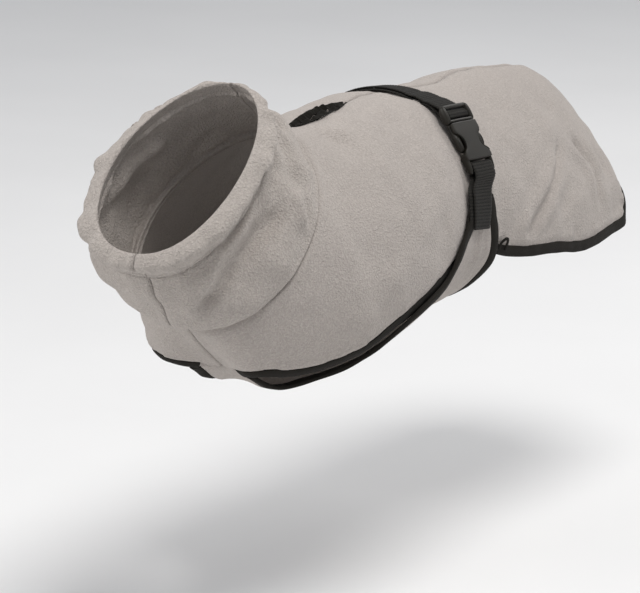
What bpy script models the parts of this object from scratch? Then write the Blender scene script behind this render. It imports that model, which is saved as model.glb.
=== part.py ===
"""Fleece winter coat for a small dog, in the hollow form it has when it is worn.

Lengths are in millimetres and become metres when a mesh is made. The wearer faces -Y, its left side is
+X and +Z is up. The origin is on the inside of the back, where the wearer's back carries the coat.

A place on the cloth is (t, angle): t counts the rings of a table from front to back, and angle runs round
a ring in degrees, 0 at its lowest point, 180 at the middle of the back, positive on the wearer's left.
"""
import bmesh
import bpy
import numpy as np

MM = 0.001

# Cloth, tape and webbing
FLEECE = 2.5
SEAM_GAP = 0.3
BINDING_WIDTH = 9.5
BINDING_PROUD = 0.7
WEBBING_WIDTH = 27.0
WEBBING_THICK = 1.5
HOLLOW_SPREAD = 11.0

# One row for each ring of cloth: the ends of its middle line, low and high, its half widths, where it is
# widest (a share of its height), how much fuller it is below than above, how square its lower half is,
# how far its lowest point is drawn back, and how far it turns about the vertical.
RING_COLUMNS = ("low_y", "low_z", "top_y", "top_z", "left", "right", "widest", "fuller", "square", "drawn", "turn")
BODY_RINGS = (
    (-270, -128, -152, -2.0, 73.0, 73.0, .55, .18, 1.00, 2, 0),    # collar seam
    (-262, -146, -136, -3.0, 80.0, 80.0, .50, .14, 0.90, 12, 0),
    (-248, -166, -114, -2.0, 88.0, 88.0, .47, .09, 0.80, 22, 0),   # bottom of the chest
    (-224, -181, -90, 1.0, 97.0, 97.0, .46, .07, 0.75, 20, 0),
    (-185, -189, -70, 2.5, 103.0, 103.0, .45, .06, 0.75, 8, 0),    # shoulder
    (-140, -192, -48, 3.5, 104.5, 104.5, .46, .015, 0.78, 0, 0),
    (-95, -194, -22, 4.6, 101.0, 101.0, .48, .01, 0.85, 0, 0),
    (-50, -201, 5, 4.0, 92.0, 92.0, .52, .00, 0.95, 0, 0),
    (5, -211, 22, 2.2, 89.5, 89.5, .57, -.03, 1.00, 0, 0),         # belt
    (45, -221, 50, -1.0, 91.5, 91.5, .54, .01, 1.00, 0, 0),
    (85, -228, 88, -1.0, 95.5, 95.5, .50, .07, 1.00, 0, 0),
    (125, -231, 132, 1.0, 97.0, 97.0, .50, .14, 1.00, 0, 0),       # hips
    (160, -231, 178, -4.0, 95.0, 95.0, .51, .22, 1.00, 0, 0),
    (192, -231, 220, -11.0, 89.5, 89.5, .55, .33, 1.00, 0, 0),
    (215, -231, 255, -24.0, 82.0, 82.0, .60, .47, 1.00, 0, 0),
    (230, -231, 280, -37.0, 77.5, 77.5, .62, .65, 1.00, 0, 0),     # rump
    (240, -231, 300, -50.0, 71.0, 71.0, .58, .83, 1.00, 0, 0),
    (246, -231, 322, -62.0, 60.0, 60.0, .56, .88, 1.00, 0, 0),     # tail
)
# The belly flap follows the body's rings at its sides and closes under the belly.
FLAP_RINGS = BODY_RINGS[:4] + (
    (-183.5, -186.5, -70, 2.5, 103.0, 103.0, .453, .06, 0.70, 8, 0),
    (-128.5, -167, -48, 3.5, 105.2, 105.2, .378, .05, 0.52, 0, 0),
    (-83.3, -157, -22, 4.6, 101.8, 101.8, .361, .04, 0.46, 0, 0),
    (-41.8, -157, 5, 4.0, 92.8, 92.8, .387, .00, 0.44, 0, 0),
    (7.2, -157, 22, 2.2, 91.0, 91.0, .423, -.03, 0.46, 0, 0),
    (45.5, -156, 50, -1.0, 93.3, 93.3, .345, .01, 0.50, 0, 0),
)
COLLAR_RINGS = (
    (-329, -62, -206, 45.0, 47.0, 58.0, .50, .02, 0.92, 0, 10),    # rim
    (-331, -74, -201, 41.0, 59.0, 71.0, .50, .00, 0.90, 0, 10),    # fullest part of the casing
    (-317, -81, -196, 36.0, 50.0, 66.0, .50, .00, 0.85, 0, 13),    # casing's stitch line
    (-309, -95, -184, 25.0, 58.0, 72.0, .50, .05, 0.90, 0, 11),
    (-298, -110, -170, 13.0, 69.0, 75.0, .54, .12, 1.00, 0, 7),
    (-284, -127, -158, 3.0, 73.0, 74.0, .57, .20, 1.00, 0, 2),     # roll over the chest
    (-270, -128, -152, -2.0, 73.0, 73.0, .55, .18, 1.00, 2, 0),    # collar seam
)

# The bound edges, as (t, angle) along the middle of the binding on the wearer's left side
HEM_LINE = (
    (2.35, 6.6), (2.27, 14), (2.32, 21.5), (2.5, 27), (2.8, 31), (3.05, 35), (3.3, 39), (3.55, 43), (3.85, 47),
    (4.15, 51.5), (4.4, 57), (4.6, 60.5), (4.8, 63), (5.1, 65.7), (5.4, 68.3), (5.75, 71.2), (6.1, 74),
    (6.6, 76.5), (7.2, 78), (8.0, 78.3), (8.7, 78.8), (9.2, 80), (9.85, 81.5), (10.55, 81), (11.4, 78),
    (12.6, 75), (14.0, 73.5),
    (15.0, 75.5), (15.55, 81.5), (15.72, 91), (15.6, 108), (15.52, 121), (15.56, 134), (15.62, 148),
    (15.68, 161), (15.7, 171), (15.71, 180),
)
HEM_CHEST, HEM_CORNER = 3, 28   # rows of HEM_LINE where it leaves the chest and where it turns up the rump
TAIL_ROOM = 0.06         # t kept free between the middle of the back and the binding at the tail
NECK_EDGE = 0.02         # t of the body's edge at the collar seam
COLLAR_EDGE = 0.02       # how far the collar stops before its last ring
CASING_T = 2.2           # where the casing of the collar's rim is stitched down
CASING_EDGE = 3.0
FLAP_SEAM = 0.035        # t from the chest's lower edge to the flap's
FLAP_FRONT_LINE = (
    (2.6, 8.7), (3.0, 8.8), (3.5, 9.3), (3.8, 10.4), (4.05, 12.6), (4.22, 16.5), (4.34, 22.5), (4.45, 29.5),
    (4.6, 36.5), (4.8, 42.5), (5.05, 47.5), (5.32, 51), (5.62, 53.2), (5.95, 55.5), (6.22, 58.5), (6.4, 63),
    (6.51, 68), (6.6, 73.5), (6.69, 79), (6.8, 84.5), (6.97, 90.5), (7.24, 96), (7.44, 100.5),
)
FLAP_JOIN = 4            # the row of FLAP_FRONT_LINE where the strip widens into the wings
FLAP_REAR_HALF = ((8.0, 0), (8.08, 25), (8.25, 45), (8.38, 58), (8.35, 70), (8.24, 80), (8.06, 92), (7.92, 100.5))
FLAP_REAR_LINE = tuple((t, -angle) for t, angle in FLAP_REAR_HALF[:0:-1]) + FLAP_REAR_HALF

# Folds, each a soft ridge (height above 0) or trough (below 0) between two places on the cloth
FOLD_COLUMNS = ("t_from", "angle_from", "t_to", "angle_to", "width", "height")
BODY_FOLDS = (
    (9.35, 86, 11.3, 117, 9, 2.6),
    (9.75, 86, 11.6, 117, 8, -3.0),
    (10.3, 88, 12.0, 121, 9, 2.2),
    (12.2, 118, 12.9, 88, 8, -3.0),
    (12.8, 122, 13.4, 90, 9, 3.0),
    (13.5, 120, 14.2, 92, 8, -2.2),
    (9.5, -84, 11.1, -115, 9, 2.4),
    (9.95, -85, 11.5, -116, 8, -2.6),
    (12.3, -119, 13.1, -90, 9, -2.8),
    (13.0, -122, 13.7, -92, 9, 2.8),
)
COLLAR_FOLDS = (
    (2.0, 118, 5.2, 28, 11, 4.5),
    (2.5, 140, 5.0, 55, 13, -6.0),
    (4.2, 128, 5.5, 100, 7, 2.5),
    (2.2, -120, 4.6, -45, 12, 3.0),
    (2.8, -142, 4.8, -75, 12, -4.0),
)
BELT_GROOVE = 2.2
BELT_GROOVE_HALF = 21.0

# Slit for the lead, along the middle of the back
SLIT_FROM_Y, SLIT_TO_Y = -131.0, -49.0
SLIT_HALF_WIDTH = 8.0
SLIT_TAPE = 4.0

# Belt: its middle line as (t, angle), and how high the flap lies over the body
BELT_LINE = ((7.55, 84), (7.6, 104), (7.8, 120), (7.85, 150), (7.66, 167), (7.62, 180))
FLAP_OUTSIDE = 5.4

# Places on the belt run down it from the buckle's top edge, out from the cloth, and sideways to the rump
BUCKLE_TOP_ANGLE = 151.0
STRAP_COLUMNS = ("along", "out", "sideways")
STRAP_ROUNDING = 1.4
BELT_PATH = (
    (-181, 8.9, 0), (-160, 8.9, 0), (-148, 2.5, 0), (-140, -0.7, 0), (-60, -0.75, 0), (11.4, -0.75, 0),
    (13.6, 0.0, 0), (14.0, 1.7, 0), (13.6, 3.4, 0), (11.6, 4.3, 0), (8.4, 4.3, 0), (3.4, 1.2, 0),
    (-6, 1.2, 0), (-30, 1.2, -2.5), (-70, 1.2, -3.5), (-112, 1.2, -3.0),
)
SOCKET_PATH = (
    (103, 9.0, 0), (79, 9.1, 0), (70, 6.2, 0), (62, 4.5, 0), (50.6, 4.4, 0), (48.6, 3.7, 0), (47.9, 1.9, 0),
    (48.6, 0.1, 0), (50.8, -0.6, 0), (57, -0.6, 0), (66, -0.4, -3.5), (78, 0.2, -4.0),
)

# The buckle's two halves, a row for each cut across them; open is 1 where the cut starts a slot
BUCKLE_COLUMNS = ("along", "half", "inside", "rail_low", "rail_high", "bar_low", "bar_high", "open")
LATCH_ROWS = (
    (0.0, 16.2, 13.9, -1.1, 4.4, 2.4, 4.6, 0),       # top bar
    (3.5, 17.0, 13.9, -1.1, 5.6, 2.4, 5.0, 1),
    (8.0, 17.2, 13.9, -1.1, 6.0, 0.8, 3.0, 0),       # bar that carries the belt
    (11.0, 17.2, 13.9, -1.1, 6.0, 0.8, 3.0, 1),
    (15.5, 17.2, 13.9, -1.1, 6.0, -1.1, 5.8, 0),     # root of the arms
    (17.5, 16.6, 10.4, -1.1, 5.8, -1.1, 5.8, 0),
    (17.6, 16.4, 10.4, -1.1, 3.0, -1.1, 3.0, 1),     # arms under the shell
    (28.2, 16.4, 10.4, -1.1, 3.0, -1.1, 3.0, 1),
    (28.3, 16.4, 10.4, -1.0, 4.8, -1.0, 4.8, 1),     # arms in the shell's side openings
    (32.0, 16.9, 10.4, -1.0, 5.0, -1.0, 5.0, 1),
    (37.0, 16.6, 10.4, -1.0, 4.8, -1.0, 4.8, 1),
    (41.6, 14.6, 10.4, -1.0, 4.2, -1.0, 4.2, 1),
)
SOCKET_ROWS = (
    (17.9, 16.3, 9.9, 3.4, 5.9, 3.4, 6.2, 0),        # shell over the arms
    (23.0, 16.5, 9.9, 3.4, 6.1, 3.4, 6.4, 0),
    (27.8, 16.4, 9.9, 3.4, 6.0, 3.4, 6.5, 0),
    (27.85, 9.9, 8.0, 3.4, 5.6, 3.4, 6.5, 0),
    (27.9, 9.9, 8.0, -1.1, 5.6, -1.1, 6.5, 0),       # core between the side openings
    (35.0, 9.9, 8.0, -1.1, 5.6, -1.1, 6.5, 0),
    (42.0, 9.9, 8.0, -1.1, 5.6, -1.1, 6.4, 0),
    (42.1, 16.0, 12.0, -1.1, 5.4, -1.1, 6.4, 0),     # closed end
    (46.0, 16.6, 13.9, -1.1, 5.4, -1.1, 5.8, 1),
    (50.4, 16.4, 13.9, -1.1, 5.0, 0.7, 3.2, 0),      # bar that carries the webbing loop
    (53.6, 15.8, 13.9, -1.1, 4.6, 0.7, 3.2, 0),
)

# Elastic loops on the hem behind the wings: where, and how wide, high and thick
LOOP_ROW = 20.15
LOOP_HALF, LOOP_HEIGHT = 4.5, 9.0
LOOP_WIDTH, LOOP_THICK = 3.0, 1.4
LOOP_OUT = 1.9


class Finish:
    """Plain materials for the solids, made once each."""

    def __init__(self):
        self.fleece = self.make("fleece", (0.44, 0.40, 0.37), 0.95)
        self.fleece_collar = self.make("fleece_collar", (0.36, 0.33, 0.30), 0.95)
        self.binding = self.make("binding", (0.018, 0.017, 0.015), 0.85)
        self.webbing = self.make("webbing", (0.028, 0.026, 0.024), 0.75)
        self.plastic = self.make("plastic", (0.022, 0.021, 0.020), 0.42)

    @staticmethod
    def make(name, colour, roughness):
        material = bpy.data.materials.new(name)
        material.use_nodes = True
        shader = material.node_tree.nodes["Principled BSDF"]
        shader.inputs["Base Color"].default_value = (*colour, 1.0)
        shader.inputs["Roughness"].default_value = roughness
        shader.inputs["Metallic"].default_value = 0.0
        return material


def natural_spline(rows):
    """Return a function that reads the rows at whole and in-between row numbers."""
    rows = np.asarray(rows, float)
    count = len(rows)
    matrix = np.eye(count)
    right = np.zeros_like(rows)
    for i in range(1, count - 1):
        matrix[i, i - 1:i + 2] = (1, 4, 1)
        right[i] = 6 * (rows[i + 1] - 2 * rows[i] + rows[i - 1])
    second = np.linalg.solve(matrix, right)

    def read(t):
        t = np.clip(np.asarray(t, float), 0, count - 1)
        i = np.minimum(t.astype(int), count - 2)
        f = (t - i)[..., None]
        g = 1 - f
        bend = (g**3 - g) * second[i] + (f**3 - f) * second[i + 1]
        return g * rows[i] + f * rows[i + 1] + bend / 6

    return read


def smooth_step(low, high, value):
    """Rise smoothly from 0 at low to 1 at high."""
    share = np.clip((np.asarray(value, float) - low) / (high - low), 0, 1)
    return share * share * (3 - 2 * share)


def unit(vectors):
    return vectors / np.linalg.norm(vectors, axis=-1, keepdims=True)


class Skin:
    """The outer side of a stretch of worn cloth, through a table of rings."""

    def __init__(self, rings, folds=(), belt_t=None):
        self.read = natural_spline(rings)
        self.last = len(rings) - 1
        self.folds = [dict(zip(FOLD_COLUMNS, row)) for row in folds]
        self.belt_t = belt_t
        for fold in self.folds:
            fold["from"] = self.smooth(fold["t_from"], fold["angle_from"])
            fold["to"] = self.smooth(fold["t_to"], fold["angle_to"])

    def smooth(self, t, angle):
        """Points of the skin before folds."""
        t, angle = np.broadcast_arrays(np.asarray(t, float), np.asarray(angle, float))
        ring = dict(zip(RING_COLUMNS, np.moveaxis(self.read(t), -1, 0)))
        turn = np.radians(np.abs(angle))
        low = np.cos(turn) > 0
        rise = ring["widest"] * (1 - np.cos(turn))
        rise = np.where(low, rise, ring["widest"] - (1 - ring["widest"]) * np.cos(turn))
        power = np.where(low, ring["square"], 1.0)
        half = np.where(angle < 0, -ring["right"], ring["left"])
        sine = np.sin(turn)
        x = half * np.sign(sine) * np.abs(sine)**power * (1 + ring["fuller"] * np.cos(turn))
        y = ring["low_y"] + (ring["top_y"] - ring["low_y"]) * rise
        y = y + x * np.tan(np.radians(ring["turn"])) + ring["drawn"] * np.exp(-(angle / HOLLOW_SPREAD)**2)
        z = ring["low_z"] + (ring["top_z"] - ring["low_z"]) * rise
        return np.stack((x, y, z), -1)

    def tangents(self, t, angle):
        """Directions along the coat and round it."""
        step_t, step_angle = 0.02, 1.0
        t = np.clip(t, step_t, self.last - step_t)
        along = self.smooth(t + step_t, angle) - self.smooth(t - step_t, angle)
        around = self.smooth(t, angle + step_angle) - self.smooth(t, angle - step_angle)
        return along / (2 * step_t), around / (2 * step_angle)

    def normal(self, t, angle):
        t, angle = np.broadcast_arrays(np.asarray(t, float), np.asarray(angle, float))
        along, around = self.tangents(t, angle)
        return unit(np.cross(along, around))

    def fold_height(self, points):
        """How far the folds raise the cloth at these points."""
        height = np.zeros(points.shape[:-1])
        for fold in self.folds:
            reach = fold["to"] - fold["from"]
            share = ((points - fold["from"]) @ reach) / (reach @ reach)
            nearest = fold["from"] + np.clip(share, 0, 1)[..., None] * reach
            away = np.linalg.norm(points - nearest, axis=-1)
            fade = smooth_step(-0.15, 0.3, share) * (1 - smooth_step(0.7, 1.15, share))
            height += fold["height"] * fade * np.exp(-(away / fold["width"])**2)
        return height

    def point(self, t, angle, lift=0.0):
        """Points of the folded skin, moved out by lift."""
        t, angle = np.broadcast_arrays(np.asarray(t, float), np.asarray(angle, float))
        points = self.smooth(t, angle)
        calm = smooth_step(0.1, 0.6, t) * smooth_step(0.2, 0.9, self.last - t)
        raise_by = np.asarray(lift, float) + self.fold_height(points) * calm
        if self.belt_t is not None:
            from_belt = points[..., 1] - self.smooth(self.belt_t, angle)[..., 1]
            groove = BELT_GROOVE * np.exp(-(from_belt / BELT_GROOVE_HALF)**4)
            raise_by = raise_by - groove * smooth_step(92, 112, np.abs(angle))
        return points + self.normal(t, angle) * raise_by[..., None]

    def shift(self, t, angle, direction, distance):
        """The (t, angle) that lies a distance away from a place, along a direction on the skin."""
        along, around = self.tangents(t, angle)
        step = unit(direction) * distance
        aa, bb, ab = (along**2).sum(-1), (around**2).sum(-1), (along * around).sum(-1)
        sa, sb = (step * along).sum(-1), (step * around).sum(-1)
        scale = aa * bb - ab**2
        return t + (sa * bb - sb * ab) / scale, angle + (sb * aa - sa * ab) / scale


def new_object(name, bm, material):
    """Turn a bmesh in millimetres into one closed object in metres."""
    bmesh.ops.recalc_face_normals(bm, faces=bm.faces[:])
    if bm.calc_volume(signed=True) < 0:
        bmesh.ops.reverse_faces(bm, faces=bm.faces[:])
    bmesh.ops.scale(bm, vec=(MM, MM, MM), verts=bm.verts[:])
    mesh = bpy.data.meshes.new(name)
    bm.to_mesh(mesh)
    bm.free()
    mesh.materials.append(material)
    mesh.shade_smooth()
    mesh.set_sharp_from_angle(angle=np.radians(50))
    made = bpy.data.objects.new(name, mesh)
    bpy.context.scene.collection.objects.link(made)
    return made


def wall(name, outer, inner, present, material):
    """A closed wall between two grids of points, over the cells that are present."""
    bm = bmesh.new()
    layers = []
    used = np.zeros(outer.shape[:2], bool)
    for i, j in np.argwhere(present):
        used[i:i + 2, j:j + 2] = True
    for grid in (outer, inner):
        layer = {(i, j): bm.verts.new(grid[i, j]) for i, j in np.argwhere(used)}
        for i, j in np.argwhere(present):
            bm.faces.new([layer[key] for key in ((i, j), (i + 1, j), (i + 1, j + 1), (i, j + 1))])
        layers.append(layer)
    partner = {id(layers[0][key]): layers[1][key] for key in layers[0]}
    edges = [edge for edge in bm.edges if edge.is_boundary and id(edge.verts[0]) in partner]
    pairs = [(edge.verts[0], edge.verts[1]) for edge in edges]
    for a, b in pairs:
        bm.faces.new((a, b, partner[id(b)], partner[id(a)]))
    return new_object(name, bm, material)


def keep_side(points, side, room=SEAM_GAP / 2):
    """Hold points on their own side of the middle, clear of it by the room."""
    kept = points.copy()
    kept[..., 0] = side * np.maximum(side * points[..., 0], room)
    return kept


def sweep(name, centres, across, out, section, material, side=0):
    """Carry a closed section along a line; each section row is (across, out)."""
    bm = bmesh.new()
    section = np.asarray(section)
    points = centres[:, None] + across[:, None] * section[:, :1] + out[:, None] * section[:, 1:]
    if side:
        points = keep_side(points, side)
    loops = [[bm.verts.new(point) for point in loop] for loop in points]
    for first, second in zip(loops, loops[1:]):
        for k in range(len(section)):
            n = (k + 1) % len(section)
            bm.faces.new((first[k], first[n], second[n], second[k]))
    bm.faces.new(loops[0])
    bm.faces.new(loops[-1])
    return new_object(name, bm, material)


def row_share(skin, line, row):
    """How far along a line its row lies, as a share of its length."""
    fine = np.linspace(0, len(line) - 1, 40 * len(line))
    steps = np.linalg.norm(np.diff(skin.smooth(*natural_spline(line)(fine).T), axis=0), axis=1)
    length = np.concatenate(([0], np.cumsum(steps)))
    return np.interp(row, fine, length) / length[-1]


def line_on(skin, line, shares, side=1.0, lift=0.0):
    """Places at shares of a line of (t, angle) rows, with the frame of the skin there."""
    rows = natural_spline(line)(np.linspace(0, len(line) - 1, 40 * len(line)))
    steps = np.linalg.norm(np.diff(skin.smooth(*rows.T), axis=0), axis=1)
    length = np.concatenate(([0], np.cumsum(steps)))
    rows[:, 1] *= side
    lifts = lift(rows[:, 0]) if callable(lift) else lift
    ahead = unit(np.gradient(skin.point(*rows.T, lifts), axis=0))
    at = np.asarray(shares) * length[-1]
    t, angle = (np.interp(at, length, rows[:, k]) for k in (0, 1))
    ahead = unit(np.stack([np.interp(at, length, ahead[:, k]) for k in range(3)], -1))
    up = skin.normal(t, angle)
    centres = skin.point(t, angle, lift(t) if callable(lift) else lift)
    return dict(t=t, angle=angle, centres=centres, up=up, ahead=ahead, across=unit(np.cross(up, ahead)))


def binding(name, skin, line, shares, side, material, lift=0.0):
    """Tape folded over an edge: a flat band that straddles the cloth's wall."""
    place = line_on(skin, line, shares, side, lift)
    half, top, low = BINDING_WIDTH / 2, BINDING_PROUD, -FLEECE - BINDING_PROUD
    middle = (top + low) / 2
    section = ((-half, middle), (-half * .7, top), (half * .7, top), (half, middle), (half * .7, low), (-half * .7, low))
    side = side if line is HEM_LINE else 0
    return sweep(name, place["centres"], place["across"], place["up"], section, material, side)


def panel_edge(skin, line, shares, inward, lift=0.0):
    """The panel's own edge beside a binding, as (t, angle) rows; inward is +1 or -1 across the line."""
    place = line_on(skin, line, shares, 1.0, lift)
    reach = BINDING_WIDTH / 2 + SEAM_GAP
    return np.stack(skin.shift(place["t"], place["angle"], place["across"] * inward, reach), -1)


def hem_shares(skin):
    """Where the hem's sections lie: under the chest, along the hem and up the rump."""
    chest, corner = (row_share(skin, HEM_LINE, row) for row in (HEM_CHEST, HEM_CORNER))
    low, along, up = np.linspace(0, chest, 4), np.linspace(chest, corner, 50), np.linspace(corner, 1, 13)
    return low, along, up


def slit_half(y):
    """Half the width that the slit leaves between the halves of the back, at y."""
    share = np.clip((y - SLIT_FROM_Y) / (SLIT_TO_Y - SLIT_FROM_Y), 0, 1)
    return SLIT_HALF_WIDTH * np.sin(np.pi * share)**0.8


def open_slit(points, side):
    """Draw the cloth aside for the slit and leave the seam's gap along the middle."""
    return keep_side(points, side, SEAM_GAP / 2 + slit_half(points[..., 1]))


def blend_patch(bottom, top, left, right):
    """Places inside four edges; left and right run from bottom to top."""
    s = np.linspace(0, 1, len(bottom))[:, None, None]
    r = np.linspace(0, 1, len(left))[None, :, None]
    bottom, top, left, right = bottom[:, None], top[:, None], left[None], right[None]
    corners = (1 - s) * ((1 - r) * bottom[0] + r * top[0]) + s * ((1 - r) * bottom[-1] + r * top[-1])
    return (1 - r) * bottom + r * top + (1 - s) * left + s * right - corners


def body_grid(skin):
    """Places of one half of the body: the chest down to its lower edge, and the rest back to the rump."""
    low, along, up = (panel_edge(skin, HEM_LINE, shares, 1.0) for shares in hem_shares(skin))
    front_columns, columns, high_rows = 8, len(along), len(up)
    ring = np.concatenate(([0], low[:-1, 1], np.linspace(low[-1, 1], 180, high_rows)))
    lower_t = np.concatenate((low[:1, 0], low[:-1, 0], np.full(high_rows, low[-1, 0])))
    share = np.linspace(0, 1, front_columns)[:, None]
    front_t = NECK_EDGE + (lower_t - NECK_EDGE) * share

    up[:, 0] -= TAIL_ROOM * smooth_step(0.6, 0.95, np.linspace(0, 1, high_rows))
    corner, end = low[-1], up[-1]
    top = np.stack((np.linspace(corner[0], end[0], columns), np.full(columns, 180.0)), -1)
    left = np.stack((np.full(high_rows, corner[0]), np.linspace(corner[1], 180, high_rows)), -1)
    right = np.concatenate((up[:-1], top[-1:]))
    rest = blend_patch(along, top, left, right)

    rows, first = len(ring), len(ring) - high_rows
    places = np.zeros((front_columns + columns - 1, rows, 2))
    places[:front_columns, :, 0] = front_t
    places[:front_columns, :, 1] = ring
    places[front_columns:, first:] = rest[1:]
    places[front_columns:, :first] = rest[1:, :1]
    present = np.ones((places.shape[0] - 1, rows - 1), bool)
    present[front_columns - 1:, :first] = False
    return places, present


def seam_depth(body, collar, angle):
    """The way through both walls where the collar meets the body, halfway between their own."""
    normal = unit(body.normal(0.1, angle) + collar.normal(collar.last - 0.1, angle))
    return -FLEECE * normal


def body_half(name, skin, collar, side, material):
    places, present = body_grid(skin)
    t, angle = places[..., 0], places[..., 1] * side
    outer, inner = skin.point(t, angle), skin.point(t, angle, -FLEECE)
    inner[0] = outer[0] + seam_depth(skin, collar, angle[0])
    outer, inner = open_slit(outer, side), open_slit(inner, side)
    return wall(name, outer, inner, present, material)


def casing_inside(skin, angle, t):
    """Inner points of the casing: straight from the rim down to the line that stitches it."""
    rim, seam = skin.point(0.0, angle), skin.point(CASING_T, angle, -FLEECE)
    ring = skin.smooth(0.0, np.linspace(-180, 175, 72))
    rim = rim + unit(ring.mean(axis=0) - rim) * CASING_EDGE
    return rim + (seam - rim) * (t / CASING_T)[..., None]


def collar_half(name, skin, body, side, material):
    """Half of the collar, with its casing rolled round its elastic at the rim."""
    t = np.concatenate((np.linspace(0, 2, 6), np.linspace(2.5, skin.last - COLLAR_EDGE, 9)))
    t, angle = np.meshgrid(t, np.linspace(0, 180, 19) * side, indexing="ij")
    outer, inner = skin.point(t, angle), skin.point(t, angle, -FLEECE)
    inner = np.where((t < CASING_T)[..., None], casing_inside(skin, angle, t), inner)
    inner[-1] = outer[-1] + seam_depth(body, skin, angle[-1])
    outer, inner = keep_side(outer, side), keep_side(inner, side)
    return wall(name, outer, inner, np.ones((t.shape[0] - 1, t.shape[1] - 1), bool), material)


def flap_lift(t):
    """The flap leaves the chest level with it and rides over the body behind the front legs."""
    return FLAP_OUTSIDE * smooth_step(2.7, 4.2, t)


def flap_shares(skin):
    """Where the sections of the flap's bindings lie: the strip, the wing's front, and its rear."""
    join = row_share(skin, FLAP_FRONT_LINE, FLAP_JOIN)
    rows = natural_spline(FLAP_REAR_HALF)(np.linspace(0, len(FLAP_REAR_HALF) - 1, 400))
    angles = np.concatenate(([0, 7], np.linspace(14, FLAP_REAR_HALF[-1][1], 14)))
    at = np.interp(angles, rows[:, 1], np.linspace(0, len(FLAP_REAR_HALF) - 1, 400))
    rear = np.array([row_share(skin, FLAP_REAR_HALF, row) for row in at])
    return np.linspace(0, join, 9), np.linspace(join, 1, 14), rear


def belly_flap(name, skin, body, material):
    """The strip between the front legs and the two wings, in one piece."""
    strip_at, wing_at, rear_at = flap_shares(skin)
    strip, front = (panel_edge(skin, FLAP_FRONT_LINE, at, -1.0, flap_lift) for at in (strip_at, wing_at))
    rear = panel_edge(skin, FLAP_REAR_HALF, rear_at, 1.0, flap_lift)
    chest = panel_edge(body, HEM_LINE, [0.0], 1.0)[0]
    strip = np.concatenate(([(chest[0] + FLAP_SEAM, chest[1])], strip))
    strip_rows, wing_columns = 2, 14

    share = np.linspace(0, 1, strip_rows + 1)
    inner = np.stack((np.full(strip_rows, front[0, 0]), front[0, 1] * share[:-1]), -1)
    front = np.concatenate((inner, front))
    along = np.linspace(0, 1, wing_columns)[:, None, None]
    rows, columns = len(front), len(strip) + wing_columns - 1
    half = np.zeros((columns, rows, 2))
    half[:len(strip), :, 0] = strip[:, :1]
    half[:len(strip), :strip_rows + 1, 1] = strip[:, 1:] * share
    half[:len(strip), strip_rows + 1:, 1] = strip[:, 1:]
    half[len(strip) - 1:] = front + (rear - front) * along
    places = np.concatenate((half[:, :0:-1] * (1, -1), half), axis=1)
    wings = rows - strip_rows - 1
    present = np.ones((columns - 1, places.shape[1] - 1), bool)
    present[:len(strip) - 1, :wings] = False
    present[:len(strip) - 1, -wings:] = False
    t, angle = places[..., 0], places[..., 1]
    lift = flap_lift(t)
    return wall(name, skin.point(t, angle, lift), skin.point(t, angle, lift - FLEECE), present, material)


def slit_tape(name, skin, side, material):
    """Tape along one lip of the slit."""
    t = np.linspace(1.05, 4.95, 25)
    y = skin.point(t, 180.0)[..., 1]
    t = np.interp(np.linspace(SLIT_FROM_Y + 4, SLIT_TO_Y - 4, 22), y, t)
    y = skin.point(t, 180.0)[..., 1]
    outside = slit_half(y) + SEAM_GAP / 2 - SEAM_GAP
    inside = np.maximum(outside - SLIT_TAPE, SEAM_GAP / 2)
    ring = dict(zip(RING_COLUMNS, skin.read(t).T))
    reach = ring["left"] * (1 - ring["fuller"])
    across = np.stack((inside, (inside + outside) / 2, outside), -1)
    angle = side * (180 - np.degrees(np.arcsin(across / reach[:, None])))
    t = np.repeat(t[:, None], across.shape[1], axis=1)
    outer, inner = skin.point(t, angle, BINDING_PROUD), skin.point(t, angle, -FLEECE - BINDING_PROUD)
    outer[..., 0] = inner[..., 0] = side * across
    return wall(name, outer, inner, np.ones((len(t) - 1, across.shape[1] - 1), bool), material)


class Belt:
    """Places things on the belt's line: down along it, out from the cloth, and sideways to the rump."""

    def __init__(self, skin):
        self.skin = skin
        self.line = natural_spline(BELT_LINE)(np.linspace(0, len(BELT_LINE) - 1, 80))
        angles = np.linspace(300, 75, 451)
        points = skin.point(self.t_at(angles), angles)
        length = np.concatenate(([0], np.cumsum(np.linalg.norm(np.diff(points, axis=0), axis=1))))
        self.angles = angles
        self.along = length - np.interp(-BUCKLE_TOP_ANGLE, -angles, length)

    def t_at(self, angle):
        return np.interp(np.where(angle > 180, 360 - angle, angle), self.line[:, 1], self.line[:, 0])

    def frame(self, along):
        """The cloth's point, its outward direction and the direction to the rump."""
        angle = np.interp(along, self.along, self.angles)
        t, step = self.t_at(angle), 0.5
        up = self.skin.normal(t, angle)
        down = self.skin.smooth(self.t_at(angle - step), angle - step)
        down = unit(down - self.skin.smooth(self.t_at(angle + step), angle + step))
        return self.skin.point(t, angle), up, unit(np.cross(down, up))

    def place(self, along, out, sideways):
        centre, up, rear = self.frame(np.asarray(along, float))
        return centre + up * np.asarray(out)[..., None] + rear * np.asarray(sideways)[..., None]


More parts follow.
